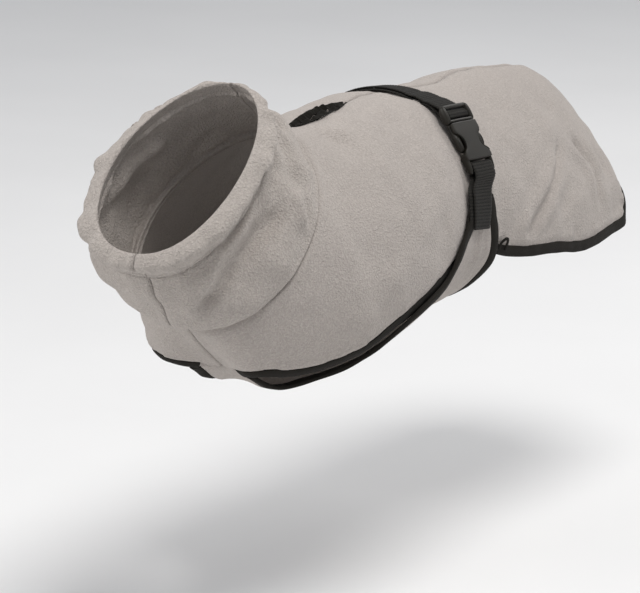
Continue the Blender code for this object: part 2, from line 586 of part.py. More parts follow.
def round_path(path, radius):
    """A path's rows with their corners rounded, closer together where it bends."""
    step, reach, bend = 0.4, 9.0, 24.0
    path = np.asarray(path, float)
    length = np.concatenate(([0], np.cumsum(np.linalg.norm(np.diff(path[:, :2], axis=0), axis=1))))
    rows = np.stack([np.interp(np.arange(0, length[-1], step), length, column) for column in path.T], -1)
    pad = int(radius / step)
    window = np.ones(2 * pad + 1) / (2 * pad + 1)
    for _ in range(2):
        padded = np.pad(rows, ((pad, pad), (0, 0)), mode="reflect", reflect_type="odd")
        rows = np.stack([np.convolve(column, window, mode="valid") for column in padded.T], -1)
    ahead = np.gradient(rows[:, :2], axis=0)
    turn = np.degrees(np.abs(np.diff(np.unwrap(np.arctan2(ahead[:, 1], ahead[:, 0])))))
    worth = np.concatenate(([0], np.cumsum(step / reach + turn / bend)))
    chosen = np.linspace(0, worth[-1], int(worth[-1]) + 2)
    return np.stack([np.interp(chosen, worth, column) for column in rows.T], -1)


def webbing(name, belt, path, material):
    """A band of webbing through rows of (along, out, sideways)."""
    rows = round_path(path, STRAP_ROUNDING)
    centres = belt.place(*rows.T)
    rear = belt.frame(rows[:, 0])[2]
    ahead = unit(np.gradient(centres, axis=0))
    out = unit(np.cross(ahead, rear))
    half, deep = WEBBING_WIDTH / 2, WEBBING_THICK / 2
    section = ((-half, -deep), (half, -deep), (half, deep), (-half, deep))
    return sweep(name, centres, rear, out, section, material)


def buckle_half(name, belt, rows, material):
    """One moulded half of the buckle, with its slots left open."""
    cut = dict(zip(BUCKLE_COLUMNS, np.asarray(rows, float).T))
    middle = np.zeros_like(cut["half"])
    across = np.stack((-cut["half"], -cut["inside"], middle, cut["inside"], cut["half"]), -1)
    low = np.stack((cut["rail_low"], cut["bar_low"], cut["bar_low"], cut["bar_low"], cut["rail_low"]), -1)
    high = np.stack((cut["rail_high"], cut["bar_high"], cut["bar_high"], cut["bar_high"], cut["rail_high"]), -1)
    along = np.repeat(cut["along"][:, None], across.shape[1], axis=1)
    present = np.ones((len(rows) - 1, across.shape[1] - 1), bool)
    present[:, 1:3] = cut["open"][:-1, None] == 0
    return wall(name, belt.place(along, high, across), belt.place(along, low, across), present, material)


def hem_loop(name, skin, side, material):
    """A short elastic loop that stands up from the hem and lies on the cloth."""
    place = line_on(skin, HEM_LINE, [row_share(skin, HEM_LINE, LOOP_ROW)], side)
    centre, up, ahead, inward = (place[key][0] for key in ("centres", "up", "ahead", "across"))
    inward = inward * side
    turn = np.linspace(0, np.pi, 13)[:, None]
    start = centre + inward * (BINDING_WIDTH / 2 - 3.0) + up * LOOP_OUT
    points = start + ahead * LOOP_HALF * np.cos(turn) + inward * LOOP_HEIGHT * np.sin(turn)
    forward = unit(np.gradient(points, axis=0))
    out = np.repeat(up[None], len(points), axis=0)
    half, deep = LOOP_WIDTH / 2, LOOP_THICK / 2
    section = ((-half, -deep), (half, -deep), (half, deep), (-half, deep))
    return sweep(name, points, unit(np.cross(out, forward)), out, section, material)


def main():
    for old in list(bpy.data.objects):
        bpy.data.objects.remove(old, do_unlink=True)
    finish = Finish()
    body = Skin(BODY_RINGS, BODY_FOLDS, BELT_LINE[-1][0])
    flap = Skin(FLAP_RINGS)
    collar = Skin(COLLAR_RINGS, COLLAR_FOLDS)
    low, along, up = hem_shares(body)
    hem = np.concatenate((low, along[1:], up[1:]))
    strip, wing, rear = flap_shares(flap)
    front = np.concatenate((strip, wing[1:]))
    rear = np.concatenate(((1 - rear[:0:-1]) / 2, (1 + rear) / 2))
    for name, side in (("left", 1.0), ("right", -1.0)):
        body_half("body_" + name, body, collar, side, finish.fleece)
        collar_half("collar_" + name, collar, body, side, finish.fleece_collar)
        binding("hem_binding_" + name, body, HEM_LINE, hem, side, finish.binding)
        binding("flap_binding_" + name, flap, FLAP_FRONT_LINE, front, side, finish.binding, flap_lift)
        slit_tape("slit_binding_" + name, body, side, finish.binding)
        hem_loop("hem_loop_" + name, body, side, finish.binding)
    belly_flap("belly_flap", flap, body, finish.fleece)
    binding("flap_rear_binding", flap, FLAP_REAR_LINE, rear, 1.0, finish.binding, flap_lift)
    belt = Belt(Skin(BODY_RINGS))
    webbing("belt_strap", belt, BELT_PATH, finish.webbing)
    webbing("socket_strap", belt, SOCKET_PATH, finish.webbing)
    buckle_half("buckle_latch", belt, LATCH_ROWS, finish.plastic)
    buckle_half("buckle_socket", belt, SOCKET_ROWS, finish.plastic)


if __name__ == "__main__":
    main()
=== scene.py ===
"""Dog winter coat: the looks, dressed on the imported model.

Shapes are worked out in millimetres and become metres when a mesh is made. The wearer faces -Y, its left is
+X and +Z is up. A place on the cloth is (t, angle): t counts the rings of a table from front to back, and
angle runs round a ring in degrees, 0 at its lowest point and 180 at the middle of the back.
"""
import logging
import math
from dataclasses import dataclass, field
from enum import Enum
from typing import Callable, Sequence

import bmesh
import bpy
import numpy as np
from mathutils import Matrix, Vector


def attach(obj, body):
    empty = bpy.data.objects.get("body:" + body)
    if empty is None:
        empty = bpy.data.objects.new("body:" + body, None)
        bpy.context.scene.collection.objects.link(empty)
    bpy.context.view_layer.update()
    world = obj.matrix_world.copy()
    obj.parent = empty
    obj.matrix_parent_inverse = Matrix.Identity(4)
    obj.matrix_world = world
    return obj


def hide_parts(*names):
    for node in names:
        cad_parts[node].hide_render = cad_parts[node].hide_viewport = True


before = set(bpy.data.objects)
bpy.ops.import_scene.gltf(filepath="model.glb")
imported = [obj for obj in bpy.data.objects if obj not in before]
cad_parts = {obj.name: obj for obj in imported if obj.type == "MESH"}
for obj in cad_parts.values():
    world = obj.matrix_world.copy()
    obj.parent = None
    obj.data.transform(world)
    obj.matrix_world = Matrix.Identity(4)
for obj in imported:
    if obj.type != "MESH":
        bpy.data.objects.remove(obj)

LOG = logging.getLogger("coat")
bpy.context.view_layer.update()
MM = 0.001
WELD = 2e-5                         # points nearer than this, in metres, become one
SIDES = (("left", 1.0), ("right", -1.0))
Array = np.ndarray
Colour = tuple[float, float, float]
Row = tuple[float, float, float]
Socket = bpy.types.NodeSocket

# Cloth, tape and webbing
FLEECE = 2.5
SHELL, COLLAR_SHELL = 2.1, 1.7      # thickness of the cloth's shells
MIDDLE_ROOM = 0.12                  # room that each half of the coat keeps from the middle
TAPE_WIDTH = 9.5
CLOTH_EDGE = 1.35                   # the cloth ends this far inside the middle of its tape
TAPE_REACH = 4.4                    # the cloth is pressed flat as far as this from it
WEBBING_WIDTH = 27.0
RIB_MM = 2.6                        # from rib to rib of the webbing
# The belt presses a groove into the cloth, which swells beside it, from low on the sides to the full depth
BELT_GROOVE, BELT_GROOVE_HALF = 2.2, 21.0
BELT_BULGE, BELT_BULGE_AT, BELT_BULGE_WIDTH = 0.9, 25.0, 6.5
BELT_FROM_ANGLE, BELT_FULL_ANGLE = 92, 112
SEAM_T = 0.012                      # both sides of the neck seam stop this far from it, in rings
# Rough lengths of cloth from ring to ring: body behind the neck seam, collar above it, and below the casing
BODY_RING_MM, COLLAR_RING_MM, CASING_RING_MM = 16.0, 15.0, 13.0

# Rings of cloth: ends of the middle line, low and high, half widths, where it is widest, how much fuller
# below than above, how square below, how far the lowest point is drawn back, and the turn about the vertical
RING_COLUMNS = ("low_y", "low_z", "top_y", "top_z", "left", "right", "widest", "fuller", "square", "drawn",
                "turn")
BODY_RINGS = (
    (-270, -128, -152, -2.0, 73.0, 73.0, .55, .18, 1.00, 2, 0),    # collar seam
    (-262, -146, -136, -3.0, 80.0, 80.0, .50, .14, 0.90, 12, 0),
    (-248, -166, -114, -2.0, 88.0, 88.0, .47, .09, 0.80, 22, 0),   # bottom of the chest
    (-224, -181, -90, 1.0, 97.0, 97.0, .46, .07, 0.75, 20, 0),
    (-185, -189, -70, 2.5, 103.0, 103.0, .45, .06, 0.75, 8, 0),    # shoulder
    (-140, -192, -48, 3.5, 104.5, 104.5, .46, .015, 0.78, 0, 0),
    (-95, -194, -22, 4.6, 101.0, 101.0, .48, .01, 0.85, 0, 0),
    (-50, -201, 5, 4.0, 92.0, 92.0, .52, .00, 0.95, 0, 0),
    (5, -211, 22, 2.2, 89.5, 89.5, .57, -.03, 1.00, 0, 0),         # belt
    (45, -221, 50, -1.0, 91.5, 91.5, .54, .01, 1.00, 0, 0),
    (85, -228, 88, -1.0, 95.5, 95.5, .50, .07, 1.00, 0, 0),
    (125, -231, 132, 1.0, 97.0, 97.0, .50, .14, 1.00, 0, 0),       # hips
    (160, -231, 178, -4.0, 95.0, 95.0, .51, .22, 1.00, 0, 0),
    (192, -231, 220, -11.0, 89.5, 89.5, .55, .33, 1.00, 0, 0),
    (215, -231, 255, -24.0, 82.0, 82.0, .60, .47, 1.00, 0, 0),
    (230, -231, 280, -37.0, 77.5, 77.5, .62, .65, 1.00, 0, 0),     # rump
    (240, -231, 300, -50.0, 71.0, 71.0, .58, .83, 1.00, 0, 0),
    (246, -231, 322, -62.0, 60.0, 60.0, .56, .88, 1.00, 0, 0),     # tail
)
FLAP_RINGS = BODY_RINGS[:4] + (
    (-183.5, -186.5, -70, 2.5, 103.0, 103.0, .453, .06, 0.70, 8, 0),
    (-128.5, -167, -48, 3.5, 105.2, 105.2, .378, .05, 0.52, 0, 0),
    (-83.3, -157, -22, 4.6, 101.8, 101.8, .361, .04, 0.46, 0, 0),
    (-41.8, -157, 5, 4.0, 92.8, 92.8, .387, .00, 0.44, 0, 0),
    (7.2, -157, 22, 2.2, 91.0, 91.0, .423, -.03, 0.46, 0, 0),
    (45.5, -156, 50, -1.0, 93.3, 93.3, .345, .01, 0.50, 0, 0),
)
COLLAR_RINGS = (
    (-329, -62, -206, 45.0, 47.0, 58.0, .50, .02, 0.92, 0, 10),    # rim
    (-331, -74, -201, 41.0, 59.0, 71.0, .50, .00, 0.90, 0, 10),    # fullest part of the casing
    (-317, -81, -196, 36.0, 50.0, 66.0, .50, .00, 0.85, 0, 13),    # casing's stitch line
    (-309, -95, -184, 25.0, 58.0, 72.0, .50, .05, 0.90, 0, 11),
    (-298, -110, -170, 13.0, 69.0, 75.0, .54, .12, 1.00, 0, 7),
    (-284, -127, -158, 3.0, 73.0, 74.0, .57, .20, 1.00, 0, 2),     # roll over the chest
    (-270, -128, -152, -2.0, 73.0, 73.0, .55, .18, 1.00, 2, 0),    # collar seam
)

# Bound edges, as (t, angle) along the middle of the tape on the wearer's left
HEM_LINE = (
    (2.35, 6.6), (2.27, 14), (2.32, 21.5), (2.5, 27),                                   # under the throat
    (2.8, 31), (3.05, 35), (3.3, 39), (3.55, 43), (3.85, 47), (4.15, 51.5), (4.4, 57), (4.6, 60.5),
    (4.8, 63), (5.1, 65.7), (5.4, 68.3), (5.75, 71.2), (6.1, 74), (6.6, 76.5),          # behind the front leg
    (7.2, 78), (8.0, 78.3), (8.7, 78.8), (9.2, 80), (9.85, 81.5), (10.55, 81), (11.4, 78), (12.6, 75),
    (14.0, 73.5),
    (15.0, 75.5), (15.55, 81.5), (15.72, 91), (15.6, 108), (15.52, 121), (15.56, 134), (15.62, 148),
    (15.68, 161), (15.7, 171), (15.71, 180),                                            # rump and tail
)
HEM_CHEST, HEM_CORNER = 3, 28       # rows where it leaves the chest and where it turns up the rump
LOOP_ROW = 20.15                    # where the elastic loop is sewn to it
FLAP_FRONT_LINE = (
    (2.6, 8.7), (3.0, 8.8), (3.5, 9.3), (3.8, 10.4), (4.05, 12.6), (4.22, 16.5), (4.34, 22.5), (4.45, 29.5),
    (4.6, 36.5), (4.8, 42.5), (5.05, 47.5), (5.32, 51.6), (5.62, 54.4), (5.95, 57.2), (6.22, 60.2), (6.4, 64),
    (6.51, 68), (6.6, 73.5), (6.69, 79), (6.8, 84.5), (6.97, 90.5), (7.24, 96), (7.44, 100.5),
)
FLAP_JOIN = 4                       # the row where the strip widens into the wings
FLAP_REAR_HALF = ((8.0, 0), (8.08, 25), (8.25, 45), (8.38, 58), (8.35, 70), (8.24, 80), (8.06, 92),
                  (7.92, 100.5))
FLAP_REAR_LINE = tuple((t, -angle) for t, angle in FLAP_REAR_HALF[:0:-1]) + FLAP_REAR_HALF
FLAP_OUTSIDE = 5.4                  # how far the flap rides above the body
CASING_T, CASING_EDGE = 2.1, 3.0    # where the rim's casing is stitched, and how far its edge leans in

# Soft ridges (height above 0) and troughs between two places on the cloth
CREASE_COLUMNS = ("t_from", "angle_from", "t_to", "angle_to", "width", "height")
BODY_CREASES = (
    (9.40, 88, 10.35, 105, 6.5, 2.6), (10.25, 103, 11.4, 118, 6.0, 3.4),     # long fold in front of the hip
    (9.70, 88, 10.75, 104, 5.0, -4.6), (10.65, 102, 11.8, 121, 4.8, -5.2),
    (10.15, 91, 11.35, 108, 6.0, 2.4), (10.9, 92, 11.7, 105, 6.0, -1.6),
    (12.05, 121, 12.6, 105, 6.0, 2.8), (12.55, 108, 12.55, 88, 6.5, 2.6),    # folds over the thigh
    (12.5, 121, 13.0, 104, 5.0, -4.6), (12.95, 106, 12.95, 86, 5.2, -4.0),
    (13.05, 119, 13.45, 97, 6.0, 2.4), (13.6, 116, 14.1, 92, 6.0, -2.0),
    (14.3, 128, 14.7, 102, 8.0, 1.6), (11.9, 158, 12.6, 132, 12.0, 1.2), (14.8, 166, 15.5, 112, 20.0, -5.5),
    (15.95, 82, 16.05, 108, 10.0, 4.2), (15.95, -82, 16.05, -108, 10.0, 4.0),
    (1.7, 164, 2.6, 149, 5.0, -2.0), (2.1, 168, 3.0, 154, 5.0, 1.3),         # small ones beside the slit
    (3.4, 158, 4.3, 146, 6.0, -1.3), (4.6, 160, 5.4, 148, 7.0, -1.1),
    (2.9, 84, 4.1, 68, 9.0, -1.5), (3.3, 92, 4.6, 76, 9.0, 1.2),             # shoulder
    (4.6, 96, 5.9, 88, 11.0, -1.1), (8.7, 92, 9.2, 126, 9.0, -1.4), (9.0, 132, 9.5, 160, 10.0, 1.1),
    (9.5, -86, 10.5, -104, 6.5, 2.6), (10.3, -102, 11.3, -117, 6.0, 2.8),    # the far side
    (9.85, -86, 10.9, -104, 5.0, -3.4), (10.8, -103, 11.7, -118, 5.5, -3.0),
    (12.3, -119, 12.8, -103, 6.0, -3.0), (12.75, -106, 13.0, -88, 6.0, -2.6),
    (12.0, -118, 12.4, -92, 7.0, 2.4), (13.2, -120, 13.6, -94, 7.0, 2.4), (14.2, -124, 14.5, -98, 8.0, -1.6),
    (1.0, -56, 2.2, -38, 16.0, -6.0), (1.9, -163, 2.8, -150, 5.0, -1.7), (3.0, -86, 4.3, -70, 9.0, -1.4),
    (8.8, -94, 9.2, -124, 9.0, -1.2),
)
FLAP_CREASES = (
    (7.58, 94, 7.62, 66, 2.8, 2.1), (7.61, 70, 7.72, 44, 2.8, 2.0),          # the wing's pulled crease
    (7.35, 94, 7.38, 52, 4.0, -1.1), (7.84, 92, 7.9, 54, 4.0, -0.9),
    (7.5, -94, 7.6, -56, 3.0, 1.8), (7.25, -92, 7.35, -58, 4.0, -1.0),
    (4.9, 22, 6.6, 14, 9.0, 1.2), (5.0, -24, 6.8, -12, 9.0, 1.2), (5.4, 4, 7.4, 0, 10.0, -1.2),
)
COLLAR_CREASES = (
    (2.45, 80, 2.75, 46, 6.0, 6.2), (2.75, 48, 4.2, 14, 6.0, 6.0),           # ridge that rolls over the chest
    (3.4, 92, 3.0, 50, 8.0, -11.0), (3.05, 52, 4.2, 20, 7.0, -10.0),         # valley beside it
    (3.6, 100, 4.6, 86, 4.5, 3.4), (4.1, 102, 5.0, 88, 4.5, -2.6), (4.0, 70, 5.2, 40, 8.0, 2.4),
    (2.6, 134, 3.8, 104, 8.5, -5.0), (4.6, 150, 5.4, 128, 6.0, -3.4), (2.9, 160, 4.4, 150, 7.0, 3.4),
    (2.45, 156, 3.2, 140, 6.0, -3.4), (3.2, 12, 4.4, -8, 7.0, -2.4),
    (2.9, -66, 3.6, -28, 11.0, 4.5), (4.9, -52, 5.5, -14, 10.0, -4.5),
    (2.4, -118, 2.8, -84, 7.0, 4.6), (3.3, -128, 3.1, -86, 8.0, -7.0), (4.4, -150, 5.3, -122, 6.5, 3.0),
    (4.0, -100, 5.2, -72, 8.0, 2.6),
)

SLIT_FROM_Y, SLIT_TO_Y, SLIT_HALF_WIDTH = -131.0, -49.0, 8.0
BELT_LINE = ((7.55, 84), (7.6, 104), (7.8, 120), (7.85, 150), (7.66, 167), (7.62, 180))
BUCKLE_TOP_ANGLE = 151.0
# The buckle is stiff: between these places along the belt its line is straight and stands off the cloth
STIFF_FROM, STIFF_TO = (-26.0, -3.0), (61.0, 79.0)
TURN_TO = (61.0, 112.0)     # the webbing below it turns to the cloth's own direction more slowly
STIFF_ORIGIN = (54.78, 16.08, -4.99)
STIFF_HEADWARD, STIFF_UP = (-0.0689, -0.9965, 0.0480), (0.8336, -0.0311, 0.5515)
# Rows of (along, out, sideways): down the belt from the buckle's top edge, out from its line, to the head
BELT_PATH = (
    (-181, 8.9, 0), (-160, 8.9, 0), (-148, 2.5, 0), (-140, -0.7, 0), (-60, -0.75, 0), (-28, -0.5, 0),
    (-22, -2.1, 0), (-14, -8.3, 0), (-6, -8.2, 0), (2, -4.4, 0), (9.4, -0.75, 0),
    (11.5, 0.0, 0), (11.9, 1.7, 0), (11.5, 3.4, 0), (9.6, 4.3, 0), (7.8, 4.3, 0), (3.4, 1.1, 0),  # ladder bar
    (-6, -5.8, 0), (-12.6, -5.9, -0.5), (-21, 0.5, -1.5), (-28, 1.4, -2.5), (-70, 1.2, -3.5),     # free tail
    (-112, 1.2, -3.0),
)
SOCKET_PATH = (
    (105, 9.0, 5.4), (92, 9.0, 5.8), (81, 9.0, 5.6), (78, 8.7, 5.4), (76, 8.0, 5.2), (74, 7.0, 5.0),
    (72, 6.0, 4.6), (70, 5.0, 4.0), (68, 4.3, 3.2), (66, 3.8, 2.2), (64, 3.5, 1.2), (61.5, 3.7, 0),
    (57.2, 4.3, 0), (52.8, 4.4, 0), (50.8, 3.7, 0), (50.1, 1.9, 0), (50.8, 0.1, 0), (53.0, -0.6, 0),    # bar
    (61.5, -1.3, 1.0), (67, -0.5, 4.4), (72, 2.6, 7.2), (77, 6.2, 8.8), (80, 6.8, 9.2), (92, 6.8, 9.4),
    (103, 6.8, 9.0),
)


# ---------------------------------------------------------------- numbers

def natural_spline(rows: Sequence[Sequence[float]]) -> Callable[[Array], Array]:
    """Make a smooth curve through rows of numbers.

    Args:
        rows: One row of numbers for each whole row number.

    Returns:
        A function that reads the rows at whole and in-between row numbers.
    """
    rows = np.asarray(rows, float)
    count = len(rows)
    matrix, right = np.eye(count), np.zeros_like(rows)
    for i in range(1, count - 1):
        matrix[i, i - 1:i + 2] = (1, 4, 1)
        right[i] = 6 * (rows[i + 1] - 2 * rows[i] + rows[i - 1])
    second = np.linalg.solve(matrix, right)

    def read(t: Array) -> Array:
        """Read the curve.

        Args:
            t: Row numbers.

        Returns:
            A row for each of them.
        """
        t = np.clip(np.asarray(t, float), 0, count - 1)
        i = np.minimum(t.astype(int), count - 2)
        f = (t - i)[..., None]
        g = 1 - f
        return g * rows[i] + f * rows[i + 1] + ((g**3 - g) * second[i] + (f**3 - f) * second[i + 1]) / 6

    return read


def smooth_step(low: float, high: float, value: Array) -> Array:
    """Rise smoothly from 0 at low to 1 at high."""
    share = np.clip((np.asarray(value, float) - low) / (high - low), 0, 1)
    return share * share * (3 - 2 * share)


def bell(value: Array, middle: float, width: float) -> Array:
    """Rise smoothly to 1 at the middle and fall away within about two widths."""
    return np.exp(-((value - middle) / width)**2)


def unit(vectors: Array) -> Array:
    """Vectors of length one along the last axis."""
    return vectors / np.linalg.norm(vectors, axis=-1, keepdims=True)


def run_length(points: Array) -> Array:
    """Distance run along a row of points, from 0 at the first."""
    return np.concatenate(([0], np.cumsum(np.linalg.norm(np.diff(points, axis=0), axis=1))))


def near_distance(points: Array, line: Array) -> Array:
    """Distance from each point of a grid to the nearest point of a line.

    Args:
        points: The grid's points.
        line: Points of the line.

    Returns:
        A distance for each point of the grid.
    """
    flat = points.reshape(-1, 3)
    best = np.full(len(flat), np.inf)
    for spot in line:
        best = np.minimum(best, ((flat - spot)**2).sum(-1))
    return np.sqrt(best).reshape(points.shape[:-1])


@dataclass(frozen=True)
class Waves:
    """Even, seeded unevenness in space, as a sum of plane waves.

    Attributes:
        size: Rough length of a wave in millimetres.
        height: Rough height in millimetres.
        seed: Seed of its random directions.
        count: How many plane waves are summed.
    """

    size: float
    height: float
    seed: int
    count: int = 14

    def at(self, points: Array) -> Array:
        """Height of the waves.

        Args:
            points: Points in space, along the last axis.

        Returns:
            A height for each point.
        """
        random = np.random.default_rng(self.seed)
        ways = unit(random.normal(size=(self.count, 3))) * (2 * np.pi / self.size)
        ways *= random.uniform(0.6, 1.5, (self.count, 1))
        phases = random.uniform(0, 2 * np.pi, self.count)
        total = np.zeros(points.shape[:-1])
        for way, phase in zip(ways, phases):
            total += np.sin(points @ way + phase)
        return self.height * total / math.sqrt(self.count / 2)


# ---------------------------------------------------------------- the worn surface

class Surface:
    """The outer side of a stretch of worn cloth, through a table of rings."""

    def __init__(self, rings: Sequence[Sequence[float]], creases: Sequence[Sequence[float]] = (),
                 belt_t: float | None = None) -> None:
        """Keep the rings and creases.

        Args:
            rings: Rows of RING_COLUMNS.
            creases: Rows of CREASE_COLUMNS.
            belt_t: t of the groove under the belt, if there is one.
        """
        self.read = natural_spline(rings)
        self.last = len(rings) - 1
        self.belt_t = belt_t
        self.creases = [dict(zip(CREASE_COLUMNS, row)) for row in creases]
        for crease in self.creases:
            crease["from"] = self.smooth(crease["t_from"], crease["angle_from"])
            crease["to"] = self.smooth(crease["t_to"], crease["angle_to"])

    def smooth(self, t: Array, angle: Array) -> Array:
        """Points of the plain form, before any crease.

        Args:
            t: Ring numbers.
            angle: Degrees round the ring.

        Returns:
            A point for each place.
        """
        t, angle = np.broadcast_arrays(np.asarray(t, float), np.asarray(angle, float))
        ring = dict(zip(RING_COLUMNS, np.moveaxis(self.read(t), -1, 0)))
        turn = np.radians(np.abs(angle))
        sine, cosine = np.sin(turn), np.cos(turn)
        widest = ring["widest"]
        rise = np.where(cosine > 0, widest * (1 - cosine), widest - (1 - widest) * cosine)
        power = np.where(cosine > 0, ring["square"], 1.0)
        half = np.where(angle < 0, -ring["right"], ring["left"])
        x = half * np.sign(sine) * np.abs(sine)**power * (1 + ring["fuller"] * cosine)
        y = ring["low_y"] + (ring["top_y"] - ring["low_y"]) * rise
        y = y + x * np.tan(np.radians(ring["turn"])) + ring["drawn"] * bell(angle, 0, 11.0)
        return np.stack((x, y, ring["low_z"] + (ring["top_z"] - ring["low_z"]) * rise), -1)

    def tangents(self, t: Array, angle: Array) -> tuple[Array, Array]:
        """Directions along the coat and round it, for each unit of t and angle.

        Args:
            t: Ring numbers.
            angle: Degrees round the ring.

        Returns:
            The direction along and the direction round.
        """
        step, turn = 0.02, 1.0
        t = np.clip(t, step, self.last - step)
        along = self.smooth(t + step, angle) - self.smooth(t - step, angle)
        around = self.smooth(t, angle + turn) - self.smooth(t, angle - turn)
        return along / (2 * step), around / (2 * turn)

    def normal(self, t: Array, angle: Array) -> Array:
        """Outward directions."""
        t, angle = np.broadcast_arrays(np.asarray(t, float), np.asarray(angle, float))
        return unit(np.cross(*self.tangents(t, angle)))

    def crease_height(self, points: Array) -> Array:
        """How far the creases raise the cloth.

        Args:
            points: Points of the plain form.

        Returns:
            A height for each point, below 0 in a trough.
        """
        height = np.zeros(points.shape[:-1])
        for crease in self.creases:
            reach = crease["to"] - crease["from"]
            share = ((points - crease["from"]) @ reach) / (reach @ reach)
            nearest = crease["from"] + np.clip(share, 0, 1)[..., None] * reach
            away = np.linalg.norm(points - nearest, axis=-1)
            fade = smooth_step(-0.15, 0.3, share) * (1 - smooth_step(0.7, 1.15, share))
            height += crease["height"] * fade * bell(away, 0, crease["width"])
        return height

    def point(self, t: Array, angle: Array, lift: Array | float = 0.0) -> Array:
        """Points of the creased surface.

        Args:
            t: Ring numbers.
            angle: Degrees round the ring.
            lift: How far the points are moved out.

        Returns:
            A point for each place.
        """
        t, angle = np.broadcast_arrays(np.asarray(t, float), np.asarray(angle, float))
        points = self.smooth(t, angle)
        calm = smooth_step(0.1, 0.6, t) * smooth_step(0.2, 0.9, self.last - t)
        out = np.asarray(lift, float) + self.crease_height(points) * calm
        if self.belt_t is not None:
            from_belt = points[..., 1] - self.smooth(self.belt_t, angle)[..., 1]
            groove = BELT_GROOVE * np.exp(-(from_belt / BELT_GROOVE_HALF)**4)
            groove -= BELT_BULGE * bell(np.abs(from_belt), BELT_BULGE_AT, BELT_BULGE_WIDTH)
            out = out - groove * smooth_step(BELT_FROM_ANGLE, BELT_FULL_ANGLE, np.abs(angle))
        return points + self.normal(t, angle) * out[..., None]

    def shift(self, t: Array, angle: Array, direction: Array, distance: float) -> Array:
        """Places that lie a distance away on the surface.

        Args:
            t: Ring numbers to start from.
            angle: Degrees to start from.
            direction: Direction in space.
            distance: How far to go.

        Returns:
            A (t, angle) row for each place.
        """
        along, around = self.tangents(t, angle)
        step = unit(direction) * distance
        aa, bb, ab = (along**2).sum(-1), (around**2).sum(-1), (along * around).sum(-1)
        sa, sb = (step * along).sum(-1), (step * around).sum(-1)
        scale = aa * bb - ab**2
        return np.stack((t + (sa * bb - sb * ab) / scale, angle + (sb * aa - sa * ab) / scale), -1)


@dataclass
class EdgeLine:
    """A line of (t, angle) rows on a surface, such as a bound edge.

    Attributes:
        surface: The surface that it lies on.
        rows: The line's rows.
        lift: How far it lies above the surface, from t.
    """

    surface: Surface
    rows: Sequence[Sequence[float]]
    lift: Callable[[Array], Array] = staticmethod(lambda t: np.zeros_like(np.asarray(t, float)))

    def __post_init__(self) -> None:
        """Work out fine places and the distance run to each."""
        self.fine = np.linspace(0, len(self.rows) - 1, 40 * len(self.rows))
        self.places = natural_spline(self.rows)(self.fine)
        self.length = run_length(self.surface.smooth(*self.places.T))

    def share(self, row: Array) -> Array:
        """Share of the line's length at which its row lies."""
        return np.interp(row, self.fine, self.length) / self.length[-1]

    def at(self, shares: Array, side: float = 1.0) -> dict[str, Array]:
        """Places along the line, with the frame of the surface there.

        Args:
            shares: Shares of the line's length.
            side: 1 for the line itself, -1 for its mirror image.

        Returns:
            t, angle, centre, up, ahead, across and the run from the start, by name.
        """
        rows = self.places * (1, side)
        ahead = unit(np.gradient(self.surface.point(*rows.T, self.lift(rows[:, 0])), axis=0))
        at = np.asarray(shares, float) * self.length[-1]
        t, angle = (np.interp(at, self.length, rows[:, k]) for k in (0, 1))
        ahead = unit(np.stack([np.interp(at, self.length, ahead[:, k]) for k in range(3)], -1))
        up = self.surface.normal(t, angle)
        return dict(t=t, angle=angle, centre=self.surface.point(t, angle, self.lift(t)), up=up, ahead=ahead,
                    across=unit(np.cross(up, ahead)), run=at)

    def beside(self, shares: Array, inward: float, reach: float) -> Array:
        """Places beside the line.

        Args:
            shares: Shares of the line's length.
            inward: 1 or -1, the way to go.
            reach: How far to go.

        Returns:
            A (t, angle) row for each share.
        """
        place = self.at(shares)
        return self.surface.shift(place["t"], place["angle"], place["across"] * inward, reach)


def blend_patch(bottom: Array, top: Array, left: Array, right: Array) -> Array:
    """Places inside four edges.

    Args:
        bottom: Rows along the bottom edge.
        top: Rows along the top edge.
        left: Rows up the left edge.
        right: Rows up the right edge.

    Returns:
        A grid of rows.
    """
    s = np.linspace(0, 1, len(bottom))[:, None, None]
    r = np.linspace(0, 1, len(left))[None, :, None]
    bottom, top, left, right = bottom[:, None], top[:, None], left[None], right[None]
    corners = (1 - s) * ((1 - r) * bottom[0] + r * top[0]) + s * ((1 - r) * bottom[-1] + r * top[-1])
    return (1 - r) * bottom + r * top + (1 - s) * left + s * right - corners


# ---------------------------------------------------------------- meshes

